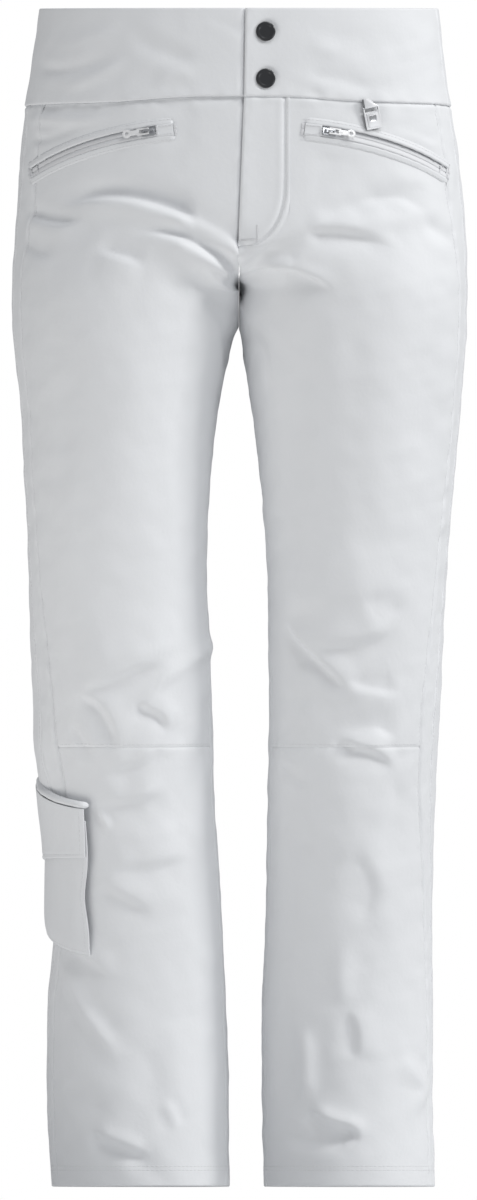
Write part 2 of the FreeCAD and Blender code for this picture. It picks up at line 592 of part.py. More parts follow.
pa = surf(R, FLAP_TOP_Z, math.pi) + normal(R, FLAP_TOP_Z, math.pi) * (POCKET_OUT + 4.0)
print("cargo hinge", [round(q, 3) for q in pa])

total = 0
for k in sorted(report):
    total += report[k][1]
print(len(report), "nodes, volume cm3", round(total, 1))
for k in sorted(report):
    print(" ", k, report[k])
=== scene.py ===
import math
import bpy
import numpy as np
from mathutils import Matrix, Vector


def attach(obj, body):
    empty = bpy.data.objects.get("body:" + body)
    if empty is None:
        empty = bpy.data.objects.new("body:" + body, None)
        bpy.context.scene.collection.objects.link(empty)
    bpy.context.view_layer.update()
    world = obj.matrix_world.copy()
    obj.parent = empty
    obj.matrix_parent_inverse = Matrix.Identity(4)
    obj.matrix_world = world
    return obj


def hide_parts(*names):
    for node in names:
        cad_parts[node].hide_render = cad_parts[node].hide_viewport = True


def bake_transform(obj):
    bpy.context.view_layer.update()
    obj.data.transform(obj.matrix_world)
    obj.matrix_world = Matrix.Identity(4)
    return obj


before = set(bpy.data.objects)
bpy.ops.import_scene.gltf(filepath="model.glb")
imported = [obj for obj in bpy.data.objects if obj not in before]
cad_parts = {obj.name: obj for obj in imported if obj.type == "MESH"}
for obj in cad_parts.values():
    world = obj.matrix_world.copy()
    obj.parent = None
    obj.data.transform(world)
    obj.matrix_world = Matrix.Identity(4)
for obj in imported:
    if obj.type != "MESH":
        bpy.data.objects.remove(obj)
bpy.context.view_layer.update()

MM = 0.001
RNG = np.random.RandomState(7)

# ------------------------------------------------------------------ body of the garment, mm
Z_ST = [0, -40, -80, -120, -160, -200, -240, -280, -320, -360, -400, -450, -500, -560, -620, -680, -740, -800, -870, -940, -1030]
TAB = dict(
    oR=[175, 180.5, 186.5, 190.5, 193.2, 196.5, 199, 198, 194, 190.3, 188.6, 185.5, 183.9, 181.5, 177.5, 167.0, 162.5, 163, 168.5, 168.8, 164],
    oL=[175, 179.5, 186, 192.3, 196.5, 199.5, 201, 200.2, 197.2, 193, 189.5, 185, 181.6, 178, 175.5, 172.3, 170.3, 169.8, 169.8, 170.3, 172.3],
    iR=[0, 0, 0, 0, 0, 0, 0.6, 5, 12.5, 18.6, 23.5, 26.6, 27.1, 24.4, 22.9, 21.9, 17.3, 14, 11, 8.4, 7.6],
    iL=[0, 0, 0, 0, 0, 0, 0.6, 2.6, 6.8, 12.6, 17.3, 21.8, 24.8, 25.1, 26.2, 25.5, 24, 22.6, 20.4, 20, 21.8],
    yf=[-112, -112, -112, -112, -112, -112, -112, -110, -107, -103, -100, -96, -92, -87, -83, -79, -76, -74, -73, -74, -76],
    yb=[104, 112, 120, 127, 131, 131, 126, 113, 102, 94, 88, 81, 75, 70, 69, 72, 76, 79, 81, 82, 84],
    yc=[0, 0, 0, 2, 4, 5, 5, 2, -2, -4, -6, -8, -8, -8, -7, -4, 0, 2, 4, 4, 4],
    sf=[24, 24, 24, 24, 24, 24, 24, 24, 24, 24, 25, 27, 30, 36, 40, 38, 32, 27, 24, 23, 22],
    sw=[13, 13, 13, 13, 13, 13, 13, 13, 13, 13, 13, 14, 15, 16, 16, 15, 14, 13, 12, 12, 12],
    n=[2.35, 2.35, 2.35, 2.35, 2.35, 2.3, 2.25, 2.2, 2.15, 2.1, 2.1, 2.1, 2.1, 2.1, 2.1, 2.1, 2.1, 2.1, 2.1, 2.1, 2.1],
)
CROTCH_Z, SPLIT_Z, HEM_Z, BAND_Z, KNEE_Z = -240.0, -150.0, -1024.0, -77.0, -642.0
R, L = -1, 1
NAME = {R: "right", L: "left"}


def slopes(xs, ys):
    d = np.diff(ys) / np.diff(xs)
    m = np.zeros(len(ys))
    m[0], m[-1] = d[0], d[-1]
    for i in range(1, len(ys) - 1):
        m[i] = 0.0 if d[i - 1] * d[i] <= 0 else 2 * d[i - 1] * d[i] / (d[i - 1] + d[i])
    return m


ZP = -np.array(Z_ST, float)
TABM = {k: (np.array(v, float), slopes(ZP, np.array(v, float))) for k, v in TAB.items()}


def at(key, z):
    ys, m = TABM[key]
    x = np.clip(-np.asarray(z, float), ZP[0], ZP[-1])
    i = np.clip(np.searchsorted(ZP, x, side="left") - 1, 0, len(ZP) - 2)
    h = ZP[i + 1] - ZP[i]
    t = (x - ZP[i]) / h
    return (2 * t**3 - 3 * t**2 + 1) * ys[i] + (t**3 - 2 * t**2 + t) * h * m[i] + (3 * t**2 - 2 * t**3) * ys[i + 1] + (t**3 - t**2) * h * m[i + 1]


def smooth(a, b, x):
    t = np.clip((x - a) / (b - a), 0, 1)
    return t * t * (3 - 2 * t)


def section(side, z):
    z = np.asarray(z, float)
    k = "R" if side < 0 else "L"
    w, n, yc = at("o" + k, z), at("n", z), at("yc", z)
    i = at("i" + k, z)
    low = z <= CROTCH_Z
    t = np.clip((SPLIT_Z - z) / (SPLIT_Z - CROTCH_Z), 0, 1)
    s = np.where(low, 1.0, t**2)
    a = np.where(low, (w - i) / 2, w / (1 + s))
    cx = np.where(low, (w + i) / 2, s * a)
    phi0 = np.arccos(np.minimum(1.0, s ** (n / 2)))
    return cx, a, yc, yc - at("yf", z), at("yb", z) - yc, n, phi0


def surf(side, z, phi, sag=True):
    z, phi = np.broadcast_arrays(np.asarray(z, float), np.asarray(phi, float))
    cx, a, yc, bf, br, n, _ = section(side, z)
    c, s = np.cos(phi), np.sin(phi)
    x = cx - a * np.sign(c) * np.abs(c) ** (2 / n)
    y = yc - np.where(s > 0, bf, br) * np.sign(s) * np.abs(s) ** (2 / n)
    x = 0.3 + x * 0.998
    zz = z + 0.042 * (y + 112.0) * np.maximum(0.0, 1 + z / 76.0) - 0.05 * (y + 76.0) * np.clip((-900 - z) / 122.0, 0, 1)
    if sag:
        zz = zz - 4.5 * smooth(30, 125, x) * smooth(-20, -77, z) * smooth(-125, -77, z)
    return np.stack([side * x, y, zz], -1)


def unit(v):
    return v / np.maximum(1e-12, np.linalg.norm(v, axis=-1, keepdims=True))


def base_normal(side, z, phi):
    e = 0.012
    n = np.cross(surf(side, z, phi + e) - surf(side, z, phi - e), surf(side, z + 0.9, phi) - surf(side, z - 0.9, phi))
    n = unit(n)
    return -n if side < 0 else n


def phi_at_x(side, z, x):
    cx, a, _, _, _, n, _ = section(side, z)
    r = (cx - (np.asarray(x, float) - 0.3) / 0.998) / a
    r = np.clip(r, -1, 1)
    return np.arccos(np.sign(r) * np.abs(r) ** (n / 2))


def px(u, v):
    """Millimetres across and up for a point of the front view's drawing grid."""
    return (u - 239) * 0.87, -(v - 9.5) * 0.87


def on_surface(x, z, back=False):
    side = R if x < 0 else L
    phi = phi_at_x(side, z, abs(x))
    if back:
        phi = 2 * math.pi - phi
    return surf(side, z, phi), base_normal(side, z, phi)


# ------------------------------------------------------------------ hand pocket zips: arcs of circles on the hips
ZIP_PTS = ((63.0, -105.5), (124.0, -117.0), (180.0, -140.5))


class Zip:
    def __init__(self, side):
        a, b, c = (surf(side, z, phi_at_x(side, z, x), sag=False) for x, z in ZIP_PTS)
        n = np.cross(b - a, c - a)
        area2 = np.linalg.norm(n)
        self.n = n / area2
        d1, d2 = b - a, c - a
        self.c = a + np.cross(d2 * d1.dot(d1) - d1 * d2.dot(d2), np.cross(d1, d2)) / (2 * area2**2)
        self.r = np.linalg.norm(a - self.c)
        self.e1 = unit(a - self.c)
        self.e2 = np.cross(self.n, self.e1)
        ang = math.atan2((c - self.c).dot(self.e2), (c - self.c).dot(self.e1))
        self.len, self.sign = abs(ang) * self.r, 1 if ang > 0 else -1
        self.r -= 1.4
        self.side = side
        self.up = 1.0 if self.n[2] > 0 else -1.0

    def dirs(self, s):
        w = self.sign * s / self.r
        return self.e1 * math.cos(w) + self.e2 * math.sin(w), (-self.e1 * math.sin(w) + self.e2 * math.cos(w)) * self.sign

    def at(self, s, out=0.0, across=0.0):
        """across is positive towards the waist."""
        o, _ = self.dirs(s)
        return self.c + o * (self.r + out) + self.n * (across * self.up)

    def coords(self, p):
        """(s, out, across) of points p."""
        d = p - self.c
        ac = d @ self.n
        q = d - ac[..., None] * self.n
        rho = np.linalg.norm(q, axis=-1)
        ang = np.arctan2(q @ self.e2, q @ self.e1)
        return self.sign * ang * self.r, rho - self.r, ac * self.up


ZIPS = {R: Zip(R), L: Zip(L)}
SLIDER_S, SLOT = 15.5, 4.6

ZSTEP = {}
for side, zp in ZIPS.items():
    ss = np.linspace(-45, zp.len + 45, 120)
    A = np.array([zp.at(v, 1.4) for v in ss])
    ph = phi_at_x(side, A[:, 2], np.abs(A[:, 0]))
    nn = base_normal(side, A[:, 2], ph)
    ZSTEP[side] = (ss, np.sum((A - surf(side, A[:, 2], ph, sag=False)) * nn, -1) + 0.1, nn)


def zip_cloth_height(side, s):
    return np.interp(s, ZSTEP[side][0], ZSTEP[side][1])


def beside_zip(zp, s, out, a):
    """A point beside the zip in the cloth's own plane: out from the arc, a towards the waist."""
    ss, _, nn = ZSTEP[zp.side]
    N = unit(np.array([np.interp(s, ss, nn[:, k]) for k in range(3)]))
    up = zp.n * zp.up
    U = unit(up - up.dot(N) * N)
    return zp.at(s, 0.9) + N * (out - 0.9) + U * a


# ------------------------------------------------------------------ folds
# each fold: points on the drawing grid, then bumps (height, offset, width above, width below) across it; positive offset lies below a line drawn left to right
FOLDS = []
FOLD_GAIN = 1.5


def catmull(pts, n=7):
    p = np.array(pts, float)
    if len(p) < 3:
        t = np.linspace(0, 1, n + 1)[:, None]
        return p[0] * (1 - t) + p[1] * t
    q = np.vstack([2 * p[0] - p[1], p, 2 * p[-1] - p[-2]])
    out = []
    for i in range(1, len(q) - 2):
        t = np.linspace(0, 1, n, endpoint=False)[:, None]
        a, b, c, d = q[i - 1], q[i], q[i + 1], q[i + 2]
        out.append(0.5 * (2 * b + (c - a) * t + (2 * a - 5 * b + 4 * c - d) * t**2 + (3 * b - a - 3 * c + d) * t**3))
    out.append(p[-1:])
    return np.vstack(out)


def fold(pts, bumps, back=False, open_start=False, open_end=False, mmpts=False):
    line = catmull(pts, 5)
    P, N = [], []
    for u, v in line:
        x, z = (u, v) if mmpts else px(u, v)
        a, b = on_surface(x, z, back)
        P.append(a)
        N.append(b)
    P, N = np.array(P), np.array(N)
    seg = np.linalg.norm(np.diff(P, axis=0), axis=1)
    acc = np.concatenate([[0], np.cumsum(seg)])
    reach = max(abs(o) + 3.0 * max(a, b) for _, o, a, b in bumps)
    FOLDS.append((P, N, acc, bumps, reach, open_start, open_end))


def vr(h, w):
    """Crease with its shoulder below: dark above, lit below."""
    return [(-0.9 * h, 0.0, 2.1 * w, 0.75 * w), (0.85 * h, 1.7 * w, 0.95 * w, 2.5 * w)]


def rv(h, w):
    """Shoulder above, crease below."""
    return [(0.85 * h, -1.7 * w, 2.5 * w, 0.95 * w), (-0.9 * h, 0.0, 0.75 * w, 2.1 * w)]


def ridge(h, w):
    return [(h, 0.0, w, w), (-0.3 * h, 2.1 * w, w, w), (-0.3 * h, -2.1 * w, w, w)]


def valley(h, w):
    return [(-h, 0.0, w, w), (0.3 * h, 2.1 * w, w, w), (0.3 * h, -2.1 * w, w, w)]


# right hip
fold([(54, 203), (66, 200), (102, 194), (137, 197), (185, 212), (226, 232), (240, 241)], vr(4.6, 5.2), open_end=True)
fold([(128, 232), (155, 231), (185, 238), (208, 250), (228, 264), (238, 284)], vr(4.2, 4.6), open_end=True)
fold([(24, 208), (38, 215), (56, 220), (73, 219), (88, 214)], vr(2.6, 4.6))
fold([(96, 246), (118, 252), (150, 262)], vr(1.6, 6.0))
fold([(22, 240), (40, 251), (58, 252)], vr(1.3, 6.0))
fold([(208, 262), (224, 276), (236, 286)], vr(2.6, 4.0), open_end=True)
fold([(26, 112), (62, 115), (96, 117), (124, 114)], ridge(1.7, 4.6))
fold([(28, 136), (44, 138), (64, 134), (84, 128)], valley(1.7, 4.0))
fold([(150, 104), (182, 110), (206, 108)], valley(0.8, 7.0))
# left hip
fold([(246, 272), (268, 251), (302, 239), (336, 236), (372, 243), (402, 255)], rv(3.4, 6.0), open_start=True)
fold([(243, 276), (280, 270), (312, 279), (338, 294)], [(2.2, -3.0, 7.0, 3.5), (-2.8, 4.0, 4.5, 11.0)], open_start=True)
fold([(300, 226), (336, 213), (376, 205), (420, 209)], valley(1.7, 8.0))
fold([(352, 200), (398, 196), (428, 210)], vr(1.7, 6.5))
fold([(418, 222), (440, 232), (456, 244)], valley(1.3, 7.0))
fold([(388, 126), (418, 131), (444, 143)], vr(1.0, 5.0))
fold([(262, 262), (286, 258), (300, 262)], vr(1.2, 5.0))
# thighs, long and soft
fold([(44, 300), (60, 360), (64, 430), (60, 510)], valley(1.3, 16))
fold([(120, 300), (132, 380), (128, 460), (122, 560)], ridge(1.2, 20))
fold([(196, 330), (184, 420), (178, 520)], valley(1.0, 15))
fold([(300, 320), (296, 410), (300, 520)], valley(1.5, 16))
fold([(372, 300), (384, 380), (380, 470), (372, 560)], ridge(1.0, 20))
fold([(432, 320), (428, 400), (426, 480)], valley(1.0, 14))
fold([(204, 300), (222, 330), (226, 372)], vr(1.0, 6))
fold([(250, 318), (268, 346), (276, 392)], vr(0.9, 6))
# right knee
fold([(72, 664), (110, 652), (150, 646), (186, 640)], [(2.6, 0.0, 26.0, 16.0)])
fold([(76, 696), (92, 692), (110, 686), (128, 679), (143, 672), (160, 670), (168, 676)], rv(2.3, 5.6))
fold([(72, 697), (84, 702), (96, 709), (105, 722), (111, 738), (112, 756)], rv(2.2, 4.8))
fold([(214, 646), (190, 662), (164, 678), (142, 694), (132, 704)], [(1.9, 0.0, 7.0, 10.0)], open_start=True)
fold([(132, 702), (144, 712), (158, 720), (166, 736)], rv(2.1, 5.0))
fold([(166, 740), (150, 764), (128, 772), (104, 779)], vr(1.7, 6.0))
fold([(170, 792), (148, 803), (122, 808), (98, 808)], vr(1.8, 6.4))
fold([(196, 862), (160, 870), (128, 874), (106, 880)], vr(1.5, 7.0))
fold([(90, 888), (112, 897), (140, 912), (150, 922)], rv(1.6, 6.0))
fold([(94, 810), (101, 816), (110, 832)], ridge(1.3, 3.2))
fold([(70, 722), (82, 744), (94, 762)], valley(1.3, 6.0))
fold([(204, 690), (206, 730), (194, 772), (178, 812), (176, 850)], valley(1.6, 12))
fold([(120, 836), (150, 838), (180, 826)], ridge(1.0, 10))
fold([(148, 716), (156, 746), (150, 786), (140, 826)], ridge(1.3, 12))
# left knee
fold([(276, 588), (320, 590), (364, 582), (398, 572)], [(3.4, 0.0, 30.0, 20.0)])
fold([(282, 622), (296, 644), (314, 664), (334, 682), (346, 700)], rv(2.9, 5.0))
fold([(300, 650), (330, 652), (362, 648), (386, 640), (402, 626)], rv(2.1, 7.5))
fold([(344, 676), (364, 684), (388, 688), (400, 684)], vr(1.8, 5.4))
fold([(404, 618), (390, 606), (362, 598)], valley(1.3, 9))
fold([(332, 742), (352, 732), (376, 727), (400, 736)], vr(2.0, 5.4))
fold([(330, 738), (352, 745), (378, 755), (398, 772)], [(2.0, -4.0, 8.0, 5.0), (-2.2, 4.0, 5.0, 16.0)])
fold([(270, 764), (310, 764), (352, 766), (398, 770)], [(3.4, 0.0, 14.0, 58.0)])
fold([(394, 771), (400, 800), (392, 836), (376, 872)], [(-1.8, 0.0, 16.0, 9.0)])
fold([(282, 760), (298, 776), (314, 790)], valley(1.2, 6.0))
fold([(344, 852), (362, 872), (368, 902), (352, 930)], rv(1.5, 9.0))
fold([(300, 700), (314, 724), (312, 742)], ridge(1.2, 9.0))
fold([(284, 820), (308, 856), (340, 882)], valley(1.2, 13.0))
# hems
fold([(56, 952), (84, 1012), (126, 1066)], ridge(2.2, 7.0))
fold([(64, 948), (88, 966), (110, 983)], rv(1.9, 5.0))
fold([(90, 1128), (112, 1142), (152, 1157)], [(2.4, -3.0, 9.0, 4.0), (-2.4, 4.0, 4.0, 9.0)])
fold([(62, 1088), (84, 1100), (112, 1112)], valley(1.6, 10))
fold([(142, 1040), (152, 1080), (150, 1120)], valley(1.3, 12))
fold([(160, 1100), (170, 1112), (178, 1132)], ridge(1.1, 5.0))
fold([(130, 1150), (146, 1166), (164, 1182)], valley(1.3, 8), open_end=True)
fold([(306, 1108), (328, 1122), (352, 1130), (362, 1144)], [(3.2, -3.0, 8.0, 3.6), (-3.2, 4.0, 4.2, 11.0)])
fold([(304, 1016), (306, 1060), (307, 1108)], ridge(2.2, 7.0))
fold([(344, 1010), (352, 1034), (352, 1062)], rv(1.8, 5.0))
fold([(346, 940), (342, 980), (346, 1012)], ridge(1.6, 9.0))
fold([(278, 1132), (310, 1140), (352, 1142)], valley(1.6, 7.0))
fold([(392, 1056), (416, 1076), (424, 1094), (404, 1120)], ridge(1.6, 8.0))
fold([(280, 1010), (284, 1060), (282, 1110)], valley(1.3, 10.0))
# waistband
fold([(35, 66), (62, 67), (90, 62), (118, 53)], valley(1.7, 5.0))
fold([(58, 84), (84, 78), (112, 66), (130, 56)], ridge(1.3, 5.0))
fold([(48, 48), (84, 40), (126, 24)], ridge(1.1, 6.5))
fold([(128, 30), (160, 52), (204, 62), (232, 60)], valley(0.9, 7.0))
fold([(150, 84), (178, 74), (206, 78)], ridge(0.8, 6.0))
fold([(200, 18), (222, 24), (240, 34)], vr(0.9, 4.0), open_end=True)
fold([(282, 62), (312, 74), (350, 80), (384, 88)], valley(0.9, 6.0))
fold([(290, 44), (330, 52), (372, 66)], ridge(0.7, 7.0))
fold([(286, 84), (310, 92), (330, 97)], valley(0.9, 4.5))
# back of the garment
for sx in (R, L):
    fold([(sx * 8, -232), (sx * 50, -262), (sx * 104, -276), (sx * 158, -262)], vr(4.0, 7.0), back=True, mmpts=True)
    fold([(sx * 20, -290), (sx * 70, -312), (sx * 130, -306)], vr(2.4, 7.0), back=True, mmpts=True)
    fold([(sx * 6, -198), (sx * 40, -224), (sx * 88, -240)], vr(2.2, 6.0), back=True, mmpts=True)
    fold([(sx * 34, -520), (sx * 92, -532), (sx * 150, -516)], vr(3.2, 6.0), back=True, mmpts=True)
    fold([(sx * 30, -556), (sx * 84, -566), (sx * 146, -556)], vr(3.8, 6.0), back=True, mmpts=True)
    fold([(sx * 40, -592), (sx * 100, -596), (sx * 160, -584)], vr(3.2, 6.0), back=True, mmpts=True)
    fold([(sx * 48, -628), (sx * 96, -640), (sx * 140, -634)], vr(2.2, 6.0), back=True, mmpts=True)
    fold([(sx * 60, -700), (sx * 92, -760), (sx * 96, -830)], ridge(1.4, 12.0), back=True, mmpts=True)
    fold([(sx * 50, -880), (sx * 92, -920), (sx * 130, -930)], vr(2.0, 7.0), back=True, mmpts=True)
    fold([(sx * 120, -960), (sx * 100, -990), (sx * 60, -1000)], rv(1.8, 6.0), back=True, mmpts=True)
    fold([(sx * 100, -330), (sx * 108, -420), (sx * 104, -500)], ridge(1.4, 18.0), back=True, mmpts=True)
    fold([(sx * 150, -90), (sx * 120, -104), (sx * 80, -106)], valley(1.0, 8.0), back=True, mmpts=True)

WAVES = []
for _ in range(26):
    lam = RNG.uniform(55, 170)
    d = unit(RNG.normal(size=3) * np.array([1.0, 1.0, 0.75]))
    WAVES.append((d * 2 * math.pi / lam, RNG.uniform(0, 2 * math.pi), 0.11 * (lam / 110.0)))
FINE = []
for _ in range(22):
    lam = RNG.uniform(14, 34)
    d = unit(RNG.normal(size=3) * np.array([1.0, 1.0, 1.5]))
    FINE.append((d * 2 * math.pi / lam, RNG.uniform(0, 2 * math.pi), 0.055 * (lam / 24.0)))


PUCK = []
for _ in range(14):
    lam = RNG.uniform(8, 17)
    d = unit(RNG.normal(size=3))
    PUCK.append((d * 2 * math.pi / lam, RNG.uniform(0, 2 * math.pi), 0.085))


def pucker(P):
    return sum(amp * np.sin(P @ kv + ph) for kv, ph, amp in PUCK)


def fold_height(P):
    """Height of all folds and soft waves at points P, along the surface's normal."""
    shape = P.shape[:-1]
    P = P.reshape(-1, 3)
    h = np.zeros(len(P))
    for line, nrm, acc, bumps, reach, o0, o1 in FOLDS:
        lo, hi = line.min(0) - reach, line.max(0) + reach
        k = np.where(((P > lo) & (P < hi)).all(1))[0]
        if not len(k):
            continue
        q = P[k]
        best = np.full(len(k), 1e9)
        sgn = np.zeros(len(k))
        along = np.zeros(len(k))
        past = np.zeros(len(k))
        for i in range(len(line) - 1):
            a, b = line[i], line[i + 1]
            d = b - a
            l2 = d.dot(d)
            raw = ((q - a) @ d) / l2
            t = np.clip(raw, 0, 1)
            c = a + t[:, None] * d
            v = q - c
            side = np.cross(unit(d), nrm[i] * (1 - 0.5) + nrm[i + 1] * 0.5)
            inplane = v @ unit(side)
            dist = np.linalg.norm(v, axis=1)
            m = dist < best
            best[m] = dist[m]
            sgn[m] = np.sign(inplane[m])
            along[m] = (acc[i] + t * (acc[i + 1] - acc[i]))[m]
            over = np.zeros(len(k))
            if i == 0:
                over = np.maximum(over, -raw)
            if i == len(line) - 2:
                over = np.maximum(over, raw - 1)
            past[m] = (over * math.sqrt(l2))[m]
        total = acc[-1]
        f = along / total
        tap = np.ones(len(k))
        if not o0:
            tap *= smooth(0.0, 0.32, f)
        if not o1:
            tap *= smooth(0.0, 0.32, 1 - f)
        # beyond an end only the distance beside the line counts, and the fold fades out
        delta = np.sqrt(np.maximum(best**2 - past**2, 0.0)) * sgn
        g = np.zeros(len(k))
        for amp, off, wa, wb in bumps:
            u = delta - off
            w = np.where(u < 0, wa, wb)
            g += FOLD_GAIN * amp * np.exp(-((u / w) ** 2))
        fade = np.exp(-((past / np.where(np.abs(q[:, 0]) > 115, 17.0, 9.0)) ** 2))
        h[k] += g * tap * fade
    for kv, ph, amp in WAVES:
        h += amp * np.sin(P @ kv + ph)
    for kv, ph, amp in FINE:
        h += amp * np.sin(P @ kv + ph)
    return h.reshape(shape)


SNAPS = [(23.2, -20.4), (23.2, -61.2)]


def relief(P, calm=1.0):
    """Fold height damped where the cloth is held: the waist's top edge, the fly, snaps and hems; to_zip levels it along
    the zips.
    """
    h = fold_height(P) * calm
    x, y, z = P[..., 0], P[..., 1], P[..., 2]
    front = y < -60
    h = h * (0.35 + 0.65 * smooth(0, 26, -z))
    h = h * (0.45 + 0.55 * smooth(-1026, -985, z))
    h = h * (1 - 0.7 * np.exp(-((x / 13.0) ** 2 + ((z + 238.0) / 15.0) ** 2)) * (y < 0))
    # the outer calf fills out above the pocket
    h = h + 7.0 * np.exp(-((z + 662.0) / np.where(z > -662, 42.0, 27.0)) ** 2) * smooth(-150, -168, x)
    # the fly is stiff: three layers
    fly = front * smooth(62, 46, np.abs(x - 10)) * smooth(-215, -196, z)
    h = h * (1 - 0.75 * fly)
    for sx, sz in SNAPS:
        rho = np.hypot(x - sx, z - sz)
        h = h * np.where(front, smooth(8, 26, rho), 1.0)
        h = h - np.where(front, 0.9 * np.exp(-((rho - 8.3) / 1.7) ** 2), 0.0)
    return h


def to_zip(P, N, h, side):
    """Brings the cloth's face level with the zip's arc along its line."""
    zp = ZIPS[side]
    s, out, ac = zp.coords(P)
    near = smooth(24, 8, np.abs(ac)) * smooth(-30, -3, s) * smooth(zp.len + 24, zp.len + 3, s)
    near = near * (P[..., 1] < -20)
    return h * (1 - near) + near * zip_cloth_height(side, s)


# ------------------------------------------------------------------ mesh helpers
def mesh_object(name, verts_mm, faces, mat, smooth_shade=True, face_mats=None, mats=None):
    me = bpy.data.meshes.new(name)
    me.from_pydata([tuple(v) for v in (np.asarray(verts_mm) * MM)], [], [tuple(int(i) for i in f) for f in faces])
    for m in (mats or [mat]):
        me.materials.append(m)
    if face_mats is not None:
        me.polygons.foreach_set("material_index", np.asarray(face_mats, dtype=np.int32))
    me.polygons.foreach_set("use_smooth", [smooth_shade] * len(me.polygons))
    me.validate()
    me.update()
    o = bpy.data.objects.new(name, me)
    bpy.context.scene.collection.objects.link(o)
    return o


class Bag:
    """Collects small parts into one mesh."""

    def __init__(self):
        self.v, self.f, self.m, self.n = [], [], [], 0

    def add(self, v, f, m=0):
        v = np.asarray(v, float)
        self.v.append(v)
        self.f += [tuple(int(i) + self.n for i in q) for q in f]
        self.m += [m] * len(f)
        self.n += len(v)

    def make(self, name, mats):
        mats = mats if isinstance(mats, (list, tuple)) else [mats]
        return mesh_object(name, np.vstack(self.v), self.f, None, mats=list(mats), face_mats=self.m)


def thicken(V, N, F, t, mat_in=1):
    """Closed cloth from an outer skin: V outer points, N normals, F quads."""
    n = len(V)
    inner = V - N * (t if np.isscalar(t) else t[:, None])
    faces = [tuple(f) for f in F] + [tuple(n + i for i in reversed(f)) for f in F]
    mats = [0] * len(F) + [mat_in] * len(F)
    edges = {}
    for f in F:
        for a, b in zip(f, f[1:] + f[:1]):
            edges[(a, b)] = edges.get((a, b), 0) + 1
    for (a, b) in list(edges):
        if (b, a) not in edges:
            faces.append((b, a, n + a, n + b))
            mats.append(0)
    return np.vstack([V, inner]), faces, mats


ENDS = np.array([0.0, 0.45, 1.0, 1.7, 2.6, 4.0, 6.0])


def ticks(length, n_mid):
    e = ENDS * min(1.0, length / 26.0)
    mid = np.linspace(e[-1], length - e[-1], n_mid + 2)[1:-1]
    return np.concatenate([e, mid, (length - e)[::-1]])


def stations(side, edge, z0, z1):
    zs = np.linspace(z0, z1, 3000)
    p = surf(side, zs, edge(zs))
    acc = np.concatenate([[0], np.cumsum(np.linalg.norm(np.diff(p, axis=0), axis=1))])
    return zs, acc


def grid(side, lo, hi, z0, z1, step=3.3, rows_like=None):
    """Evenly spaced grid of a panel: z, phi, distance from each border."""
    zl, al = stations(side, lo, z0, z1)
    zh, ah = stations(side, hi, z0, z1)
    n_mid = max(3, int(max(al[-1], ah[-1]) / step))
    tl = ticks(al[-1], n_mid) / al[-1]
    ZL = np.interp(tl * al[-1], al, zl)
    th = ticks(ah[-1], n_mid) / ah[-1]
    ZH = np.interp(th * ah[-1], ah, zh)
    PL, PH = lo(ZL), hi(ZH)
    f = np.linspace(0, 1, 41)
    zc = ZL[:, None] + (ZH - ZL)[:, None] * f
    pc = PL[:, None] + (PH - PL)[:, None] * f
    pts = surf(side, zc, pc)
    acc = np.concatenate([np.zeros((len(ZL), 1)), np.cumsum(np.linalg.norm(np.diff(pts, axis=1), axis=2), axis=1)], axis=1)
    m_mid = max(2, int(acc[:, -1].max() / step))
    F, S = [], []
    for j in range(len(ZL)):
        s = ticks(acc[j, -1], m_mid)
        S.append(s)
        F.append(np.interp(s, acc[j], f))
    F, S = np.array(F), np.array(S)
    z = ZL[:, None] + (ZH - ZL)[:, None] * F
    phi = PL[:, None] + (PH - PL)[:, None] * F
    row = (tl * al[-1])[:, None] * (1 - F) + (th * ah[-1])[:, None] * F
    row_end = ((1 - tl) * al[-1])[:, None] * (1 - F) + ((1 - th) * ah[-1])[:, None] * F
    return z, phi, S, acc[:, -1][:, None] - S, row, row_end


def grid_normals(P, side):
    du = np.gradient(P, axis=1)
    dv = -np.gradient(P, axis=0)
    n = unit(np.cross(du, dv))
    return -n if side < 0 else n


def edge_height(kind, d):
    if kind == "seam":
        return -1.0 * np.exp(-((d / 1.5) ** 2)) + 0.22 * np.exp(-(((d - 4.2) / 2.4) ** 2))
    if kind == "fine":
        return -0.45 * np.exp(-((d / 1.1) ** 2)) + 0.12 * np.exp(-(((d - 3.6) / 2.4) ** 2))
    if kind == "over":
        return 0.9 * np.exp(-((d / 10.0) ** 2)) - 1.1 * np.exp(-((d / 0.75) ** 2))
    if kind == "under":
        return -1.9 * np.exp(-((d / 5.0) ** 2))
    if kind == "free":
        return -0.9 * np.exp(-((d / 0.55) ** 2))
    if kind == "lap":
        return 1.5 * np.exp(-((d / 13.0) ** 2)) - 1.1 * np.exp(-((d / 0.8) ** 2))
    if kind == "tuck":
        return -1.5 * np.exp(-((d / 16.0) ** 2))
    return 0.0 * d


def quads(nr, nc, keep=None, flip=False):
    out = []
    for j in range(nr - 1):
        for i in range(nc - 1):
            if keep is not None and not keep[j, i]:
                continue
            q = (j * nc + i, (j + 1) * nc + i, (j + 1) * nc + i + 1, j * nc + i + 1)
            out.append(q[::-1] if flip else q)
    return out


def skin(side, z, phi, extra=0.0):
    """A point on the finished cloth face, with its normal."""
    P = surf(side, z, phi)
    N = base_normal(side, z, phi)
    h = to_zip(P, N, relief(P), side) + extra
    return P + N * np.asarray(h)[..., None], N


def close_crotch(Q, side):
    """The thighs press together for a short way below the crotch."""
    x, z = side * Q[..., 0], Q[..., 2]
    gap = np.interp(-z, [222.0, 240.0, 280.0, 320.0], [0.4, 2.2, 7.0, 14.0] if side < 0 else [0.4, 2.2, 4.6, 8.6])
    w = smooth(-288, -264, z) * smooth(-222, -234, z) * np.exp(-((np.maximum(x - gap, 0) / 20.0) ** 2))
    Q = Q.copy()
    Q[..., 0] = side * np.where(w > 0, np.maximum(0.1, x - gap * w), x)
    return Q


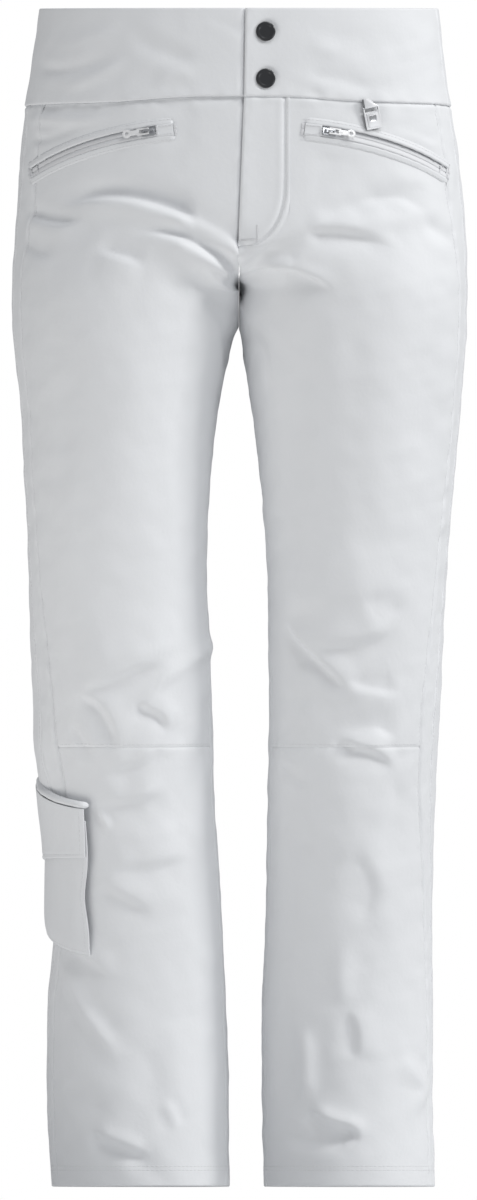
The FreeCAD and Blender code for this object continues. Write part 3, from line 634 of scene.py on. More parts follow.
def ease_crotch(P, z):
    """The belly and seat run into the legs in a soft bend."""
    w = np.exp(-(((z + 240.0) / 26.0) ** 2))[1:-1, :, None] * 0.5
    if w.max() < 0.02:
        return P
    P = P.copy()
    for _ in range(70):
        P[1:-1] += w * ((P[:-2] + P[2:]) / 2 - P[1:-1])
    return P


def cloth(name, side, lo, hi, z0, z1, edges, mats, t=2.1, step=3.3, slot=False, calm=1.0, extra=None):
    """One panel. edges: kinds at lo, hi, top and bottom."""
    z, phi, dl, dh, dt, db = grid(side, lo, hi, z0, z1, step)
    P = ease_crotch(surf(side, z, phi), z)
    N = grid_normals(P, side)
    h = to_zip(P, N, relief(P, calm), side)
    near = 0.0
    for kind, d in zip(edges, (dl, dh, dt, db)):
        h = h + edge_height(kind, d)
        if kind in ("seam", "over", "under", "lap", "fine"):
            near = near + np.exp(-((d / 7.0) ** 2))
    h = h + pucker(P) * np.minimum(near, 1.0)
    if extra is not None:
        h = h + extra(P, z, phi)
    Q = P + N * h[..., None]
    keep = None
    if slot:
        zp = ZIPS[side]
        s, out, ac = zp.coords(Q)
        inside = (s > -2.5) & (s < zp.len + 1.5) & (Q[..., 1] < 0)
        for sgn in (1, -1):
            d = SLOT + 0.5 - sgn * ac
            m = inside & (np.abs(d) < 2.2)
            up = zp.n * zp.up
            T = unit(up - (N @ up)[..., None] * N)
            Q = Q + np.where(m[..., None], T * (sgn * d / np.maximum(0.5, T @ up))[..., None], 0.0)
        s, out, ac = zp.coords(Q)
        c = (np.abs(ac[:-1, :-1]) <= SLOT + 0.6) & (np.abs(ac[1:, :-1]) <= SLOT + 0.6) & (np.abs(ac[:-1, 1:]) <= SLOT + 0.6) & (np.abs(ac[1:, 1:]) <= SLOT + 0.6)
        keep = ~(c & inside[:-1, :-1] & inside[1:, 1:])
    Q = close_crotch(Q, side)
    # a fold's own slope turns the face's normal
    M = grid_normals(Q, side)
    nr, nc = z.shape
    V, F, fm = thicken(Q.reshape(-1, 3), M.reshape(-1, 3), quads(nr, nc, keep, flip=(side < 0)), t)
    o = mesh_object(name, V, F, None, mats=mats, face_mats=fm)
    area = float(np.linalg.norm(np.cross(P[1:, :-1] - P[:-1, :-1], P[:-1, 1:] - P[:-1, :-1]), axis=-1).sum()) * 1e-6
    w = float(np.median(dl + dh)) * MM
    ln = float(np.max(dt + db)) * MM
    o["cut"] = [max(w, area / ln * 1.02), ln, area]
    return o


# ------------------------------------------------------------------ materials
def nodes_of(name):
    m = bpy.data.materials.new(name)
    m.use_nodes = True
    nt = m.node_tree
    return m, nt, nt.nodes["Principled BSDF"], nt.nodes, nt.links


def noise_bump(nt, N, Lk, bsdf, layers):
    """layers: (kind, scale per metre, distance in metres, strength)"""
    co = N.new("ShaderNodeTexCoord")
    prev = None
    for kind, scale, dist, strength in layers:
        if kind == "noise":
            t = N.new("ShaderNodeTexNoise")
            t.inputs["Scale"].default_value = scale
            t.inputs["Detail"].default_value = 2.0
            out = t.outputs["Fac"]
        elif kind == "cells":
            t = N.new("ShaderNodeTexVoronoi")
            t.inputs["Scale"].default_value = scale
            out = t.outputs["Distance"]
        else:
            t = N.new("ShaderNodeTexWave")
            t.wave_type = "BANDS"
            t.bands_direction = kind
            t.inputs["Scale"].default_value = scale
            t.inputs["Distortion"].default_value = 0.6
            t.inputs["Detail"].default_value = 1.0
            out = t.outputs["Fac"]
        Lk.new(co.outputs["Object"], t.inputs["Vector"])
        b = N.new("ShaderNodeBump")
        b.inputs["Strength"].default_value = strength
        b.inputs["Distance"].default_value = dist
        Lk.new(out, b.inputs["Height"])
        if prev:
            Lk.new(prev.outputs["Normal"], b.inputs["Normal"])
        prev = b
    Lk.new(prev.outputs["Normal"], bsdf.inputs["Normal"])


def material(name, color, rough, metal=0.0, sheen=0.0, coat=0.0, layers=(), mottle=0.0, spec=0.5):
    m, nt, b, N, Lk = nodes_of(name)
    b.inputs["Base Color"].default_value = (*color, 1)
    b.inputs["Roughness"].default_value = rough
    b.inputs["Metallic"].default_value = metal
    b.inputs["Sheen Weight"].default_value = sheen
    b.inputs["Sheen Roughness"].default_value = 0.5
    b.inputs["Coat Weight"].default_value = coat
    b.inputs["Coat Roughness"].default_value = 0.12
    b.inputs["Specular IOR Level"].default_value = spec
    if layers:
        noise_bump(nt, N, Lk, b, layers)
    if mottle:
        co = N.new("ShaderNodeTexCoord")
        t = N.new("ShaderNodeTexNoise")
        t.inputs["Scale"].default_value = 26
        t.inputs["Detail"].default_value = 4
        r = N.new("ShaderNodeMix")
        r.data_type = "RGBA"
        r.inputs[6].default_value = (*[c * (1 - mottle) for c in color], 1)
        r.inputs[7].default_value = (*[min(1, c * (1 + mottle * 0.6)) for c in color], 1)
        Lk.new(co.outputs["Object"], t.inputs["Vector"])
        Lk.new(t.outputs["Fac"], r.inputs[0])
        Lk.new(r.outputs[2], b.inputs["Base Color"])
    return m


CLOTH = (0.80, 0.81, 0.825)
M_SHELL = material("shell", CLOTH, 0.62, sheen=0.10, mottle=0.012, spec=0.32,
                   layers=[("noise", 2600, 0.00012, 0.30), ("noise", 300, 0.0005, 0.20), ("noise", 70, 0.0016, 0.16)])
M_LINING = material("lining", (0.72, 0.73, 0.75), 0.85, sheen=0.25, layers=[("cells", 1500, 0.0003, 0.4)])
M_WELT = material("seam_film", (0.79, 0.80, 0.815), 0.50, spec=0.4, layers=[("noise", 900, 0.00015, 0.25)])
M_TAPE = material("webbing", (0.74, 0.745, 0.76), 0.75, sheen=0.15, layers=[("X", 700, 0.0003, 0.35), ("Z", 900, 0.0002, 0.3)])
M_THREAD = material("thread", (0.74, 0.745, 0.76), 0.55, sheen=0.2)
M_ELASTIC = material("elastic", (0.62, 0.63, 0.65), 0.8, layers=[("Z", 420, 0.0006, 0.5)])
M_ZTAPE = material("zip_tape_cloth", (0.76, 0.765, 0.78), 0.7, layers=[("noise", 1800, 0.0003, 0.5)])
M_COIL = material("coil", (0.78, 0.785, 0.795), 0.32, spec=0.5)
M_WHITE = material("white_enamel", (0.80, 0.80, 0.805), 0.28, coat=0.4)
M_ZMETAL = material("slider_metal", (0.50, 0.51, 0.53), 0.34, metal=0.9)
M_BLACK = material("snap_lacquer", (0.012, 0.013, 0.016), 0.30, coat=0.7, spec=0.5)
M_STEEL = material("snap_steel", (0.60, 0.61, 0.62), 0.28, metal=1.0)
M_CHROME = material("charm_chrome", (0.72, 0.73, 0.75), 0.16, metal=1.0, layers=[("noise", 160, 0.0004, 0.12)])
M_SATIN = material("charm_satin", (0.80, 0.805, 0.82), 0.42, metal=0.75)
# darker chrome for the charm's edge faces: painted shade and dark reflection along the plate and holder edges
M_CHROME_PAINTED_SHADE = material("charm_edge_painted_shade", (0.20, 0.205, 0.215), 0.35, metal=1.0)
M_HOOK = material("hook_loop", (0.66, 0.665, 0.68), 0.95, sheen=0.3, layers=[("cells", 2200, 0.0006, 0.9)])

SLOT_MATS = {
    "zip_tape": M_ZTAPE, "zip_coil": M_COIL, "zip_metal": M_ZMETAL, "pull_white": M_WHITE, "snap_black": M_BLACK, "snap_steel": M_STEEL,
    "charm_steel": M_CHROME, "hook_and_loop": M_HOOK, "shell_cloth": M_SHELL, "panel_tape": M_TAPE, "lining_cloth": M_LINING, "gripper_elastic": M_ELASTIC,
}
NODE_SLOT = {}
for n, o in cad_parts.items():
    for key, slot_name in (
        ("snap_caps", "snap_black"), ("snap_sockets", "snap_steel"), ("snap_studs", "snap_steel"), ("zip_tapes", "zip_tape"), ("zip_teeth", "zip_coil"), ("zip_slider", "zip_metal"),
        ("zip_pull", "pull_white"), ("charm_plate", "charm_steel"), ("lace_hook", "snap_steel"), ("hook_patch", "hook_and_loop"), ("loop_patch", "hook_and_loop"), ("gaiter_elastic", "gripper_elastic"),
        ("facing", "lining_cloth"), ("pocket_bags", "lining_cloth"), ("gaiter", "lining_cloth"), ("fly_shield", "lining_cloth"), ("hang_loop", "panel_tape"), ("charm_loop", "panel_tape"),
        ("welts", "panel_tape"), ("end_tabs", "panel_tape"), ("", "shell_cloth")):
        if key in n:
            NODE_SLOT[n] = slot_name
            break
    o.data.materials.clear()
    o.data.materials.append(SLOT_MATS[NODE_SLOT[n]])

# ------------------------------------------------------------------ panels
PI = math.pi


def inseam(z):
    return np.radians(15.0) * smooth(CROTCH_Z - 10, -620, np.asarray(z, float))


def x_edge(z):
    """Free edge of the overlapping front, across the middle."""
    return np.interp(-np.asarray(z, float), [0, 77, 205, 240], [5.6, 4.4, -0.6, 0.0])


def phi0(side):
    return lambda z: section(side, z)[6] + inseam(z)


def phi_end(side):
    return lambda z: 2 * PI - section(side, z)[6] + inseam(z)


def seam_front(z):
    return PI - np.radians(at("sf", z))


def seam_back(z):
    return PI - np.radians(at("sf", z) - at("sw", z))


def signed_phi(side, z, x):
    """phi where the front face reaches x, which may lie a little past the middle."""
    z = np.asarray(z, float)
    return phi_at_x(side, z, side * np.asarray(x, float))


def front_lo_right(z):
    z = np.asarray(z, float)
    under = signed_phi(R, z, np.full_like(z, 9.0) * smooth(-222, -200, z) + 0.3)
    return np.where(z > -222, np.minimum(under, section(R, z)[6] + 0.0), phi0(R)(z))


FLAP_X = 44.2
FLY_B = -205.5


def left_lo(z):
    """Inner edge of the left front below the fly: under the fly's lower end, then the middle seam."""
    z = np.asarray(z, float)
    x = np.maximum(x_edge(z), 0.15)
    return np.where(z > CROTCH_Z, np.maximum(signed_phi(L, np.maximum(z, CROTCH_Z), x), section(L, z)[6]), phi0(L)(z))


def middle_seam(P, z, phi):
    d = np.abs(P[..., 0] - x_edge(P[..., 2]))
    return -1.1 * np.exp(-((d / 1.5) ** 2)) * smooth(FLY_B + 1, FLY_B - 2, P[..., 2]) * (P[..., 1] < 0)


def under_placket(P, z, phi):
    x = P[..., 0]
    return -2.9 * smooth(2.2, -2.6, x_edge(z) - x - 1.0) * smooth(-232, -208, z) * (P[..., 1] < 0)


mats2 = [M_SHELL, M_LINING]
made = {}
STEP = 2.6
for side in (R, L):
    nm = NAME[side]
    lo = front_lo_right
    if side == R:
        made["right_front"] = cloth("right_front", R, lo, seam_front, BAND_Z, KNEE_Z, ("none", "seam", "under", "fine"), mats2, step=STEP, slot=True, extra=under_placket)
    else:
        made["left_front"] = cloth("left_front_leg", L, left_lo, seam_front, FLY_B, KNEE_Z, ("none", "seam", "none", "fine"), mats2, step=STEP, extra=middle_seam)
        made["left_front_hip"] = cloth("left_front_hip", L, lambda z: signed_phi(L, z, np.full_like(np.asarray(z, float), FLAP_X)), seam_front, BAND_Z, FLY_B, ("none", "seam", "seam", "none"), mats2, step=STEP, slot=True)
        for k in ("left_front", "left_front_hip"):
            me = made[k].data
            me.set_sharp_from_angle(angle=math.radians(55))
    made[nm + "_front_shin"] = cloth(nm + "_front_lower", side, lambda z: phi0(side)(z), seam_front, KNEE_Z, HEM_Z, ("seam", "seam", "fine", "free"), mats2, step=STEP)
    made[nm + "_side"] = cloth(nm + "_side_strip", side, seam_front, seam_back, BAND_Z, HEM_Z, ("seam", "seam", "seam", "free"), mats2, step=STEP, slot=True)
    made[nm + "_back"] = cloth(nm + "_back_leg", side, seam_back, lambda z: phi_end(side)(z), BAND_Z, HEM_Z, ("seam", "seam", "seam", "free"), mats2, step=3.2)

# waistband: right half with its end under the tab, left front with the tab, left back
made["band_right"] = cloth("waistband_right_half", R, lambda z: signed_phi(R, z, 9.0), lambda z: 2 * PI - section(R, z)[6], 0, BAND_Z, ("none", "seam", "free", "over"), mats2, step=STEP,
                           extra=lambda P, z, phi: -2.9 * smooth(2.2, -2.6, x_edge(z) - P[..., 0] - 1.0) * (P[..., 1] < 0))
made["band_left"] = cloth("waistband_left_front", L, lambda z: signed_phi(L, z, x_edge(z)), seam_back, 0, BAND_Z, ("lap", "seam", "free", "over"), mats2, step=STEP)
made["band_left_back"] = cloth("waistband_left_back", L, seam_back, lambda z: 2 * PI - section(L, z)[6], 0, BAND_Z, ("seam", "seam", "free", "over"), mats2, step=STEP)

# fly placket with its J seam
J_LINE = [(282, 84), (284.5, 98), (284.5, 140), (284.5, 180), (283, 202), (277, 221), (267, 235), (254, 244), (240, 248)]
J = catmull([px(*q) for q in J_LINE], 8)


def j_seam(P, z, phi):
    p = np.stack([P[..., 0], P[..., 2]], -1)
    best = np.full(p.shape[:-1], 1e9)
    sg = np.zeros(p.shape[:-1])
    for a, b in zip(J[:-1], J[1:]):
        d = b - a
        t = np.clip(((p - a) @ d) / d.dot(d), 0, 1)
        v = p - a - t[..., None] * d
        dist = np.hypot(v[..., 0], v[..., 1])
        m = dist < best
        best = np.where(m, dist, best)
        sg = np.where(m, np.sign(d[0] * v[..., 1] - d[1] * v[..., 0]), sg)
    u = best * sg
    return -1.25 * np.exp(-((u / 1.3) ** 2)) + 0.75 * np.exp(-(((u - 3.6) / 2.2) ** 2)) + 0.35 * np.exp(-(((u + 4.2) / 3.0) ** 2)) - 0.45 * np.exp(-(((u - 6.6) / 1.0) ** 2))


made["placket"] = cloth("fly_front", L, lambda z: signed_phi(L, z, x_edge(z)), lambda z: signed_phi(L, z, FLAP_X), BAND_Z, FLY_B, ("lap", "flush", "seam", "flush"), mats2, step=1.5, extra=j_seam)
print("panels", {k: len(v.data.vertices) for k, v in made.items()})

# ------------------------------------------------------------------ stitches, laid on the finished cloth
import bmesh
from mathutils.bvhtree import BVHTree


def bvh_of(*objs):
    v, f, k = [], [], 0
    for o in objs:
        me = o.data
        v += [p.co.copy() for p in me.vertices]
        f += [tuple(i + k for i in p.vertices) for p in me.polygons]
        k = len(v)
    return BVHTree.FromPolygons(v, f)


def land(tree, p, n, lift=14.0):
    """Where the cloth lies under point p, looking in from outside, in mm."""
    hit = tree.ray_cast(Vector((p + n * lift) * MM), Vector(-n), 0.06)
    if hit[0] is None:
        return None, None
    return np.array(hit[0]) / MM, np.array(hit[1])


def resample(pts, step):
    pts = np.asarray(pts, float)
    acc = np.concatenate([[0], np.cumsum(np.linalg.norm(np.diff(pts, axis=0), axis=1))])
    s = np.arange(0, acc[-1], step)
    return np.stack([np.interp(s, acc, pts[:, k]) for k in range(pts.shape[1])], 1)


def capsule(bag, a, b, r, n, mat=0, sides=6, flat=0.75):
    a, b = np.asarray(a, float), np.asarray(b, float)
    d = unit(b - a)
    u = unit(np.cross(d, n))
    w = np.cross(u, d)
    ang = np.arange(sides) * 2 * PI / sides
    ring = np.cos(ang)[:, None] * u * r + np.sin(ang)[:, None] * w * r * flat
    ln = np.linalg.norm(b - a)
    rows_ = [(a + d * 0.0, 0.35), (a + d * min(r * 0.8, ln * 0.2), 1.0), (b - d * min(r * 0.8, ln * 0.2), 1.0), (b, 0.35)]
    v = np.vstack([c + ring * k for c, k in rows_] + [[a - d * 0.05], [b + d * 0.05]])
    f = []
    for j in range(3):
        for i in range(sides):
            k = (i + 1) % sides
            f.append((j * sides + i, j * sides + k, (j + 1) * sides + k, (j + 1) * sides + i))
    for i in range(sides):
        k = (i + 1) % sides
        f.append((4 * sides, k, i))
        f.append((4 * sides + 1, 3 * sides + i, 3 * sides + k))
    bag.add(v, f, mat)


def stitch(bag, tree, pts, nrm, ln=2.9, gap=0.9, r=0.27, sink=0.02):
    q = resample(np.hstack([pts, nrm]), ln + gap)
    fine = resample(np.hstack([pts, nrm]), 0.5)
    step = int(round((ln + gap) / 0.5))
    for k in range(0, len(fine) - step, step):
        a, b = fine[k], fine[min(len(fine) - 1, k + int(round(ln / 0.5)))]
        pa, na = land(tree, a[:3], unit(a[3:]))
        pb, nb = land(tree, b[:3], unit(b[3:]))
        if pa is None or pb is None or np.linalg.norm(pa - pb) > ln * 1.8:
            continue
        capsule(bag, pa + na * sink, pb + nb * sink, r, unit(na + nb))


def bartack(bag, tree, a, b, width, n=None, nrm=None):
    """Dense zigzag from a to b over a strip of that width."""
    a, b = np.asarray(a, float), np.asarray(b, float)
    ln = np.linalg.norm(b - a)
    d = unit(b - a)
    c = unit(np.cross(d, nrm))
    k = max(4, int(ln / 0.55))
    for i in range(k):
        p = a + d * (ln * (i + 0.5) / k)
        e0, n0 = land(tree, p - c * width / 2, nrm)
        e1, n1 = land(tree, p + c * width / 2 + d * 0.2, nrm)
        if e0 is None or e1 is None:
            continue
        capsule(bag, e0 + n0 * 0.12, e1 + n1 * 0.12, 0.30, unit(n0 + n1))


def line_on(side, zs, phis):
    zs, phis = np.broadcast_arrays(np.asarray(zs, float), np.asarray(phis, float))
    return surf(side, zs, phis), base_normal(side, zs, phis)


threads = {"right_leg": Bag(), "left_leg": Bag(), "fly": Bag(), "hips": Bag()}
for side in (R, L):
    nm = NAME[side]
    leg = threads[nm + "_leg"]
    fronts = [made[k] for k in made if k.startswith(nm) and ("front" in k)]
    tree = bvh_of(*fronts)
    zs = np.arange(-150, -1018, -1.0)
    p, n = line_on(side, zs, seam_front(zs) - 2.4 / 90.0)
    stitch(leg, tree, p, n)
    zs = np.arange(-81, -100, -1.0)
    p, n = line_on(side, zs, seam_front(zs) - 2.4 / 90.0)
    stitch(leg, tree, p, n)
    # above the knee seam
    for dz in (2.6,):
        ph = np.linspace(phi0(side)(KNEE_Z) + 0.03, seam_front(KNEE_Z) - 0.03, 160)
        p, n = line_on(side, KNEE_Z + dz, ph)
        stitch(leg, tree, p, n)
    # hem: two rows, all the way round
    tree_all = bvh_of(*[made[k] for k in made if k.startswith(nm)])
    for dz in (14.0, 17.5):
        ph = np.linspace(0.0, 2 * PI, 500)
        p, n = line_on(side, HEM_Z + dz, ph)
        stitch(leg, tree_all, p, n, r=0.25)
    tree_b = bvh_of(made[nm + "_back"])
    zs = np.arange(-90, -1018, -1.0)
    p, n = line_on(side, zs, seam_back(zs) + 2.4 / 90.0)
    stitch(leg, tree_b, p, n)
    band = bvh_of(made["band_right"]) if side == R else bvh_of(made["band_left"], made["band_left_back"])
tree_p = bvh_of(made["placket"])
jn = np.array([[0, -1.0, 0]] * len(J))
for off in (2.3,):
    JJ = resample(J, 1.0)
    d = np.gradient(JJ, axis=0)
    d = unit(d)
    nn = np.stack([d[:, 1], -d[:, 0]], 1)
    q = JJ + nn * off * -1.0
    pts = np.stack([q[:, 0], np.full(len(q), -112.0), q[:, 1]], 1)
    stitch(threads["fly"], tree_p, pts, np.array([[0, -1.0, 0]] * len(pts)))
# fly bottom tacks
made["placket"].data.set_sharp_from_angle(angle=math.radians(55))
tree_f = bvh_of(made["placket"], made["left_front"], made["left_front_hip"], made["right_front"])
bartack(threads["hips"], tree_f, (1.2, -112, -201.5), (15.5, -112, -200.6), 2.0, nrm=np.array([0, -1.0, 0]))
bartack(threads["hips"], tree_f, (15.9, -112, -188), (15.9, -112, -203.5), 1.7, nrm=np.array([0, -1.0, 0]))
tree_c = bvh_of(made["right_front"], made["left_front"])
bartack(threads["hips"], tree_c, (-3.2, -112, -236.5), (3.6, -112, -236.5), 1.5, nrm=np.array([0, -1.0, 0]))

# ------------------------------------------------------------------ hand pocket zips
def strip(bag, zp, s0, s1, profile, n=90, taper=3.0, mat=0, wob=0.0, flat=False):
    prof = np.array(profile, float)
    mid = prof.mean(0)
    k = len(prof)
    V, F = [], []
    S = np.linspace(s0, s1, n)
    for s in S:
        e = min(s - s0, s1 - s)
        g = 0.35 + 0.65 * min(1.0, e / taper) ** 0.5 if taper else 1.0
        q = prof.copy()
        q[:, 1] = mid[1] * 0 + 0.9 + (q[:, 1] - 0.9) * g
        o, _ = zp.dirs(s)
        w = wob * math.sin(s * 0.55 + zp.side) + 0.6 * wob * math.sin(s * 1.31)
        V += [beside_zip(zp, s, b, a + w) if flat else zp.c + o * (zp.r + b) + zp.n * ((a + w) * zp.up) for a, b in q]
    for j in range(n - 1):
        for i in range(k):
            m = (i + 1) % k
            F.append((j * k + i, j * k + m, (j + 1) * k + m, (j + 1) * k + i))
    F.append(tuple(range(k))[::-1])
    F.append(tuple((n - 1) * k + i for i in range(k)))
    bag.add(V, F, mat)


def fix_normals(o):
    bm = bmesh.new()
    bm.from_mesh(o.data)
    bmesh.ops.recalc_face_normals(bm, faces=bm.faces)
    bm.to_mesh(o.data)
    bm.free()
    return o


def crisp(o, deg=35):
    """Smooth shading except over sharp edges."""
    o.data.polygons.foreach_set("use_smooth", [True] * len(o.data.polygons))
    o.data.set_sharp_from_angle(angle=math.radians(deg))
    return o


LIP = [(5.0, 0.55), (4.62, 1.2), (4.66, 1.9), (5.0, 2.4), (5.7, 2.62), (6.6, 2.5), (7.6, 2.2), (8.9, 1.85), (10.6, 1.45), (10.6, 0.8)]
zip_parts = {}
for side in (R, L):
    nm, zp = NAME[side], ZIPS[side]
    b = Bag()
    strip(b, zp, -6.5, zp.len + 3.6, LIP, taper=4.0, wob=0.10, flat=True)
    strip(b, zp, -6.5, zp.len + 3.6, [(-a, c) for a, c in LIP], taper=4.0, wob=0.08, flat=True)
    # window over the chain's inner end
    strip(b, zp, -6.0, 8.2, [(-5.4, 1.9), (-5.0, 2.72), (-4.0, 2.82), (-3.2, 2.5), (0, 2.42), (3.2, 2.5), (4.0, 2.82), (5.0, 2.72), (5.4, 1.9)], n=24, taper=0.0, flat=True)
    w = fix_normals(b.make(nm + "_zip_lips", [M_WELT]))
    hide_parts(nm + "_zip_welts")
    zip_parts[nm + "_lips"] = w
    # tapes
    b = Bag()
    for sg in (1, -1):
        strip(b, zp, -2, zp.len + 1, [(sg * 0.45, 0.4), (sg * 0.40, 0.75), (sg * 0.7, 1.02), (sg * 3.0, 1.0), (sg * 4.75, 0.95), (sg * 4.75, 0.4)], taper=0, n=120)
    w = fix_normals(b.make(nm + "_zip_cloth", [M_ZTAPE]))
    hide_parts(nm + "_zip_tapes")
    zip_parts[nm + "_tape"] = w
    # coil
    b = Bag()
    s = SLIDER_S - 8
    while s < zp.len - 0.6:
        o, al = zp.dirs(s)
        k = 1 if int(s / 0.8) % 2 else -1
        capsule(b, zp.at(s, 0.05, -2.5 * k), zp.at(s + 0.35, 0.30, 1.1 * k), 0.40, o, sides=8, flat=0.9)
        s += 0.8
    for s in np.arange(4.0, SLIDER_S - 8, 1.55):
        o, al = zp.dirs(s)
        for sg in (1, -1):
            capsule(b, zp.at(s, 0.05, sg * 2.4), zp.at(s, 0.25, sg * 0.9), 0.40, o, sides=8, flat=0.9)
    w = fix_normals(b.make(nm + "_zip_coil", [M_COIL]))
    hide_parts(nm + "_zip_teeth")
    zip_parts[nm + "_coil"] = w
    # tacks over both ends
    b = Bag()
    for s0, s1, hw, up_ in ((-8.6, -6.4, 5.4, 2.0), (zp.len + 1.2, zp.len + 3.4, 5.0, 2.5), (zp.len - 9.0, zp.len - 7.4, 3.4, 1.6), (7.2, 8.4, 4.6, 2.75)):
        for s in np.arange(s0, s1, 0.55):
            o, al = zp.dirs(s)
            capsule(b, beside_zip(zp, s, up_, -hw), beside_zip(zp, s + 0.25, up_ + 0.05, 0.0), 0.34, o)
            capsule(b, beside_zip(zp, s + 0.25, up_ + 0.05, 0.0), beside_zip(zp, s, up_, hw), 0.34, o)
    for s in np.arange(-5.0, 7.0, 3.0):
        o, al = zp.dirs(s)
        for a_ in (-3.7, 3.7):
            capsule(b, beside_zip(zp, s, 2.85, a_), beside_zip(zp, s + 2.2, 2.85, a_), 0.26, o)
    for s in np.arange(-8.0, zp.len + 4, 3.6):
        o, al = zp.dirs(s)
        for a_ in (-8.8, 8.8):
            capsule(b, beside_zip(zp, s, 1.95, a_), beside_zip(zp, s + 2.6, 1.95, a_), 0.24, o)
    # a cloth cover over the chain's outer end
    for s0, s1 in ((zp.len + 0.2, zp.len + 4.6),):
        strip(b, zp, s0, s1, [(-5.6, 1.0), (-5.2, 2.3), (-2.5, 2.45), (2.5, 2.45), (5.2, 2.3), (5.6, 1.0)], n=14, taper=1.5, flat=True)
    w = fix_normals(b.make(nm + "_zip_tacks", [M_THREAD]))
    zip_parts[nm + "_tacks"] = w
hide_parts("zip_end_tabs")


def bevelled(node, name, mat, width, segments=3, angle=28, extra=()):
    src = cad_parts.get(node)
    if src is None:
        return None
    me = src.data.copy()
    me.name = name
    me.materials.clear()
    me.materials.append(mat)
    bm = bmesh.new()
    bm.from_mesh(me)
    bmesh.ops.remove_doubles(bm, verts=bm.verts, dist=3e-6)
    bmesh.ops.dissolve_limit(bm, angle_limit=math.radians(2.5), verts=bm.verts, edges=bm.edges)
    es = [e for e in bm.edges if len(e.link_faces) == 2 and e.calc_face_angle(0.0) > math.radians(angle)]
    bmesh.ops.bevel(bm, geom=es, offset=width * MM, offset_type="OFFSET", segments=segments, profile=0.5, affect="EDGES", clamp_overlap=True)
    bmesh.ops.recalc_face_normals(bm, faces=bm.faces)
    bm.to_mesh(me)
    bm.free()
    for p in me.polygons:
        p.material_index = 0
    o = bpy.data.objects.new(name, me)
    bpy.context.scene.collection.objects.link(o)
    crisp(o, 40)
    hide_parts(node)
    return o


HW = {}
for node, name, mat, width in (
    ("right_zip_slider", "right_slider_body", M_ZMETAL, 0.28), ("left_zip_slider", "left_slider_body", M_ZMETAL, 0.28), ("fly_zip_slider", "fly_slider_body", M_ZMETAL, 0.28),
    ("right_zip_pull", "right_pull_tab", M_WHITE, 0.24), ("left_zip_pull", "left_pull_tab", M_WHITE, 0.24), ("fly_zip_pull", "fly_pull_tab", M_WHITE, 0.24),
    ("waistband_underlap", "underlap_cloth", M_SHELL, 0.5), ("fly_shield", "fly_shield_cloth", M_LINING, 0.5), ("hang_loop", "hanger_tape", M_TAPE, 0.3),
    ("right_lace_hook", "right_hook_wire", M_STEEL, 0.25), ("left_lace_hook", "left_hook_wire", M_STEEL, 0.25)):
    HW[node] = bevelled(node, name, mat, width)

# ------------------------------------------------------------------ charm: a satin plate on a bar, hung from a folded metal holder, with painted shade on their edges in a darker chrome
C_AT = np.array([114.246, -98.765, -85.825])
C_X = unit(np.array([0.91657, 0.34158, 0.20791]))
C_Y = unit(np.array([0.34158, -0.91657, 0.0]))
C_Z = unit(np.array([-0.1948, -0.0726, 0.978]))


def cut_plate(bm, poly, y0, y1, bevel, mat_face=0, mat_side=1, bend=0.0):
    """A flat piece with this outline (across, up), bevelled all round; its side and bevel faces take mat_side, the
    darker chrome that paints the edges' shade.
    """
    part = bmesh.new()
    lo_v = [part.verts.new((a, y0, b)) for a, b in poly]
    hi_v = [part.verts.new((a, y1, b)) for a, b in poly]
    part.faces.new(lo_v)
    part.faces.new(hi_v[::-1])
    for i in range(len(poly)):
        k = (i + 1) % len(poly)
        part.faces.new((lo_v[k], lo_v[i], hi_v[i], hi_v[k]))
    bmesh.ops.recalc_face_normals(part, faces=part.faces)
    es = [e for e in part.edges if len(e.link_faces) == 2 and e.calc_face_angle(0.0) > math.radians(50)]
    bmesh.ops.bevel(part, geom=es, offset=bevel, offset_type="OFFSET", segments=3, profile=0.5, affect="EDGES", clamp_overlap=True)
    bmesh.ops.recalc_face_normals(part, faces=part.faces)
    base = {}
    for v in part.verts:
        a, y, b = v.co
        y = y - bend * (a / 7.5) ** 2
        base[v.index] = bm.verts.new(tuple((C_AT + C_X * a + C_Y * y + C_Z * b) * MM))
    for f in part.faces:
        g = bm.faces.new([base[v.index] for v in f.verts])
        # faces turned outwards take mat_face; side and bevel faces take mat_side, the painted edge shade
        g.material_index = mat_face if f.normal.y > 0.55 else mat_side
        g.smooth = True
    part.free()


def rounded(x0, x1, z0, z1, r, n=5):
    out = []
    for cx_, cz_, a0 in ((x1 - r, z0 + r, -90), (x1 - r, z1 - r, 0), (x0 + r, z1 - r, 90), (x0 + r, z0 + r, 180)):
        for k in range(n + 1):
            a = math.radians(a0 + 90 * k / n)
            out.append((cx_ + r * math.cos(a), cz_ + r * math.sin(a)))
    return out


def charm_mesh(name, build, mats, node):
    bm = bmesh.new()
    build(bm)
    me = bpy.data.meshes.new(name)
    bmesh.ops.recalc_face_normals(bm, faces=bm.faces)
    bm.to_mesh(me)
    bm.free()
    for m in mats:
        me.materials.append(m)
    o = bpy.data.objects.new(name, me)
    bpy.context.scene.collection.objects.link(o)
    crisp(o, 32)
    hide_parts(node)
    return o


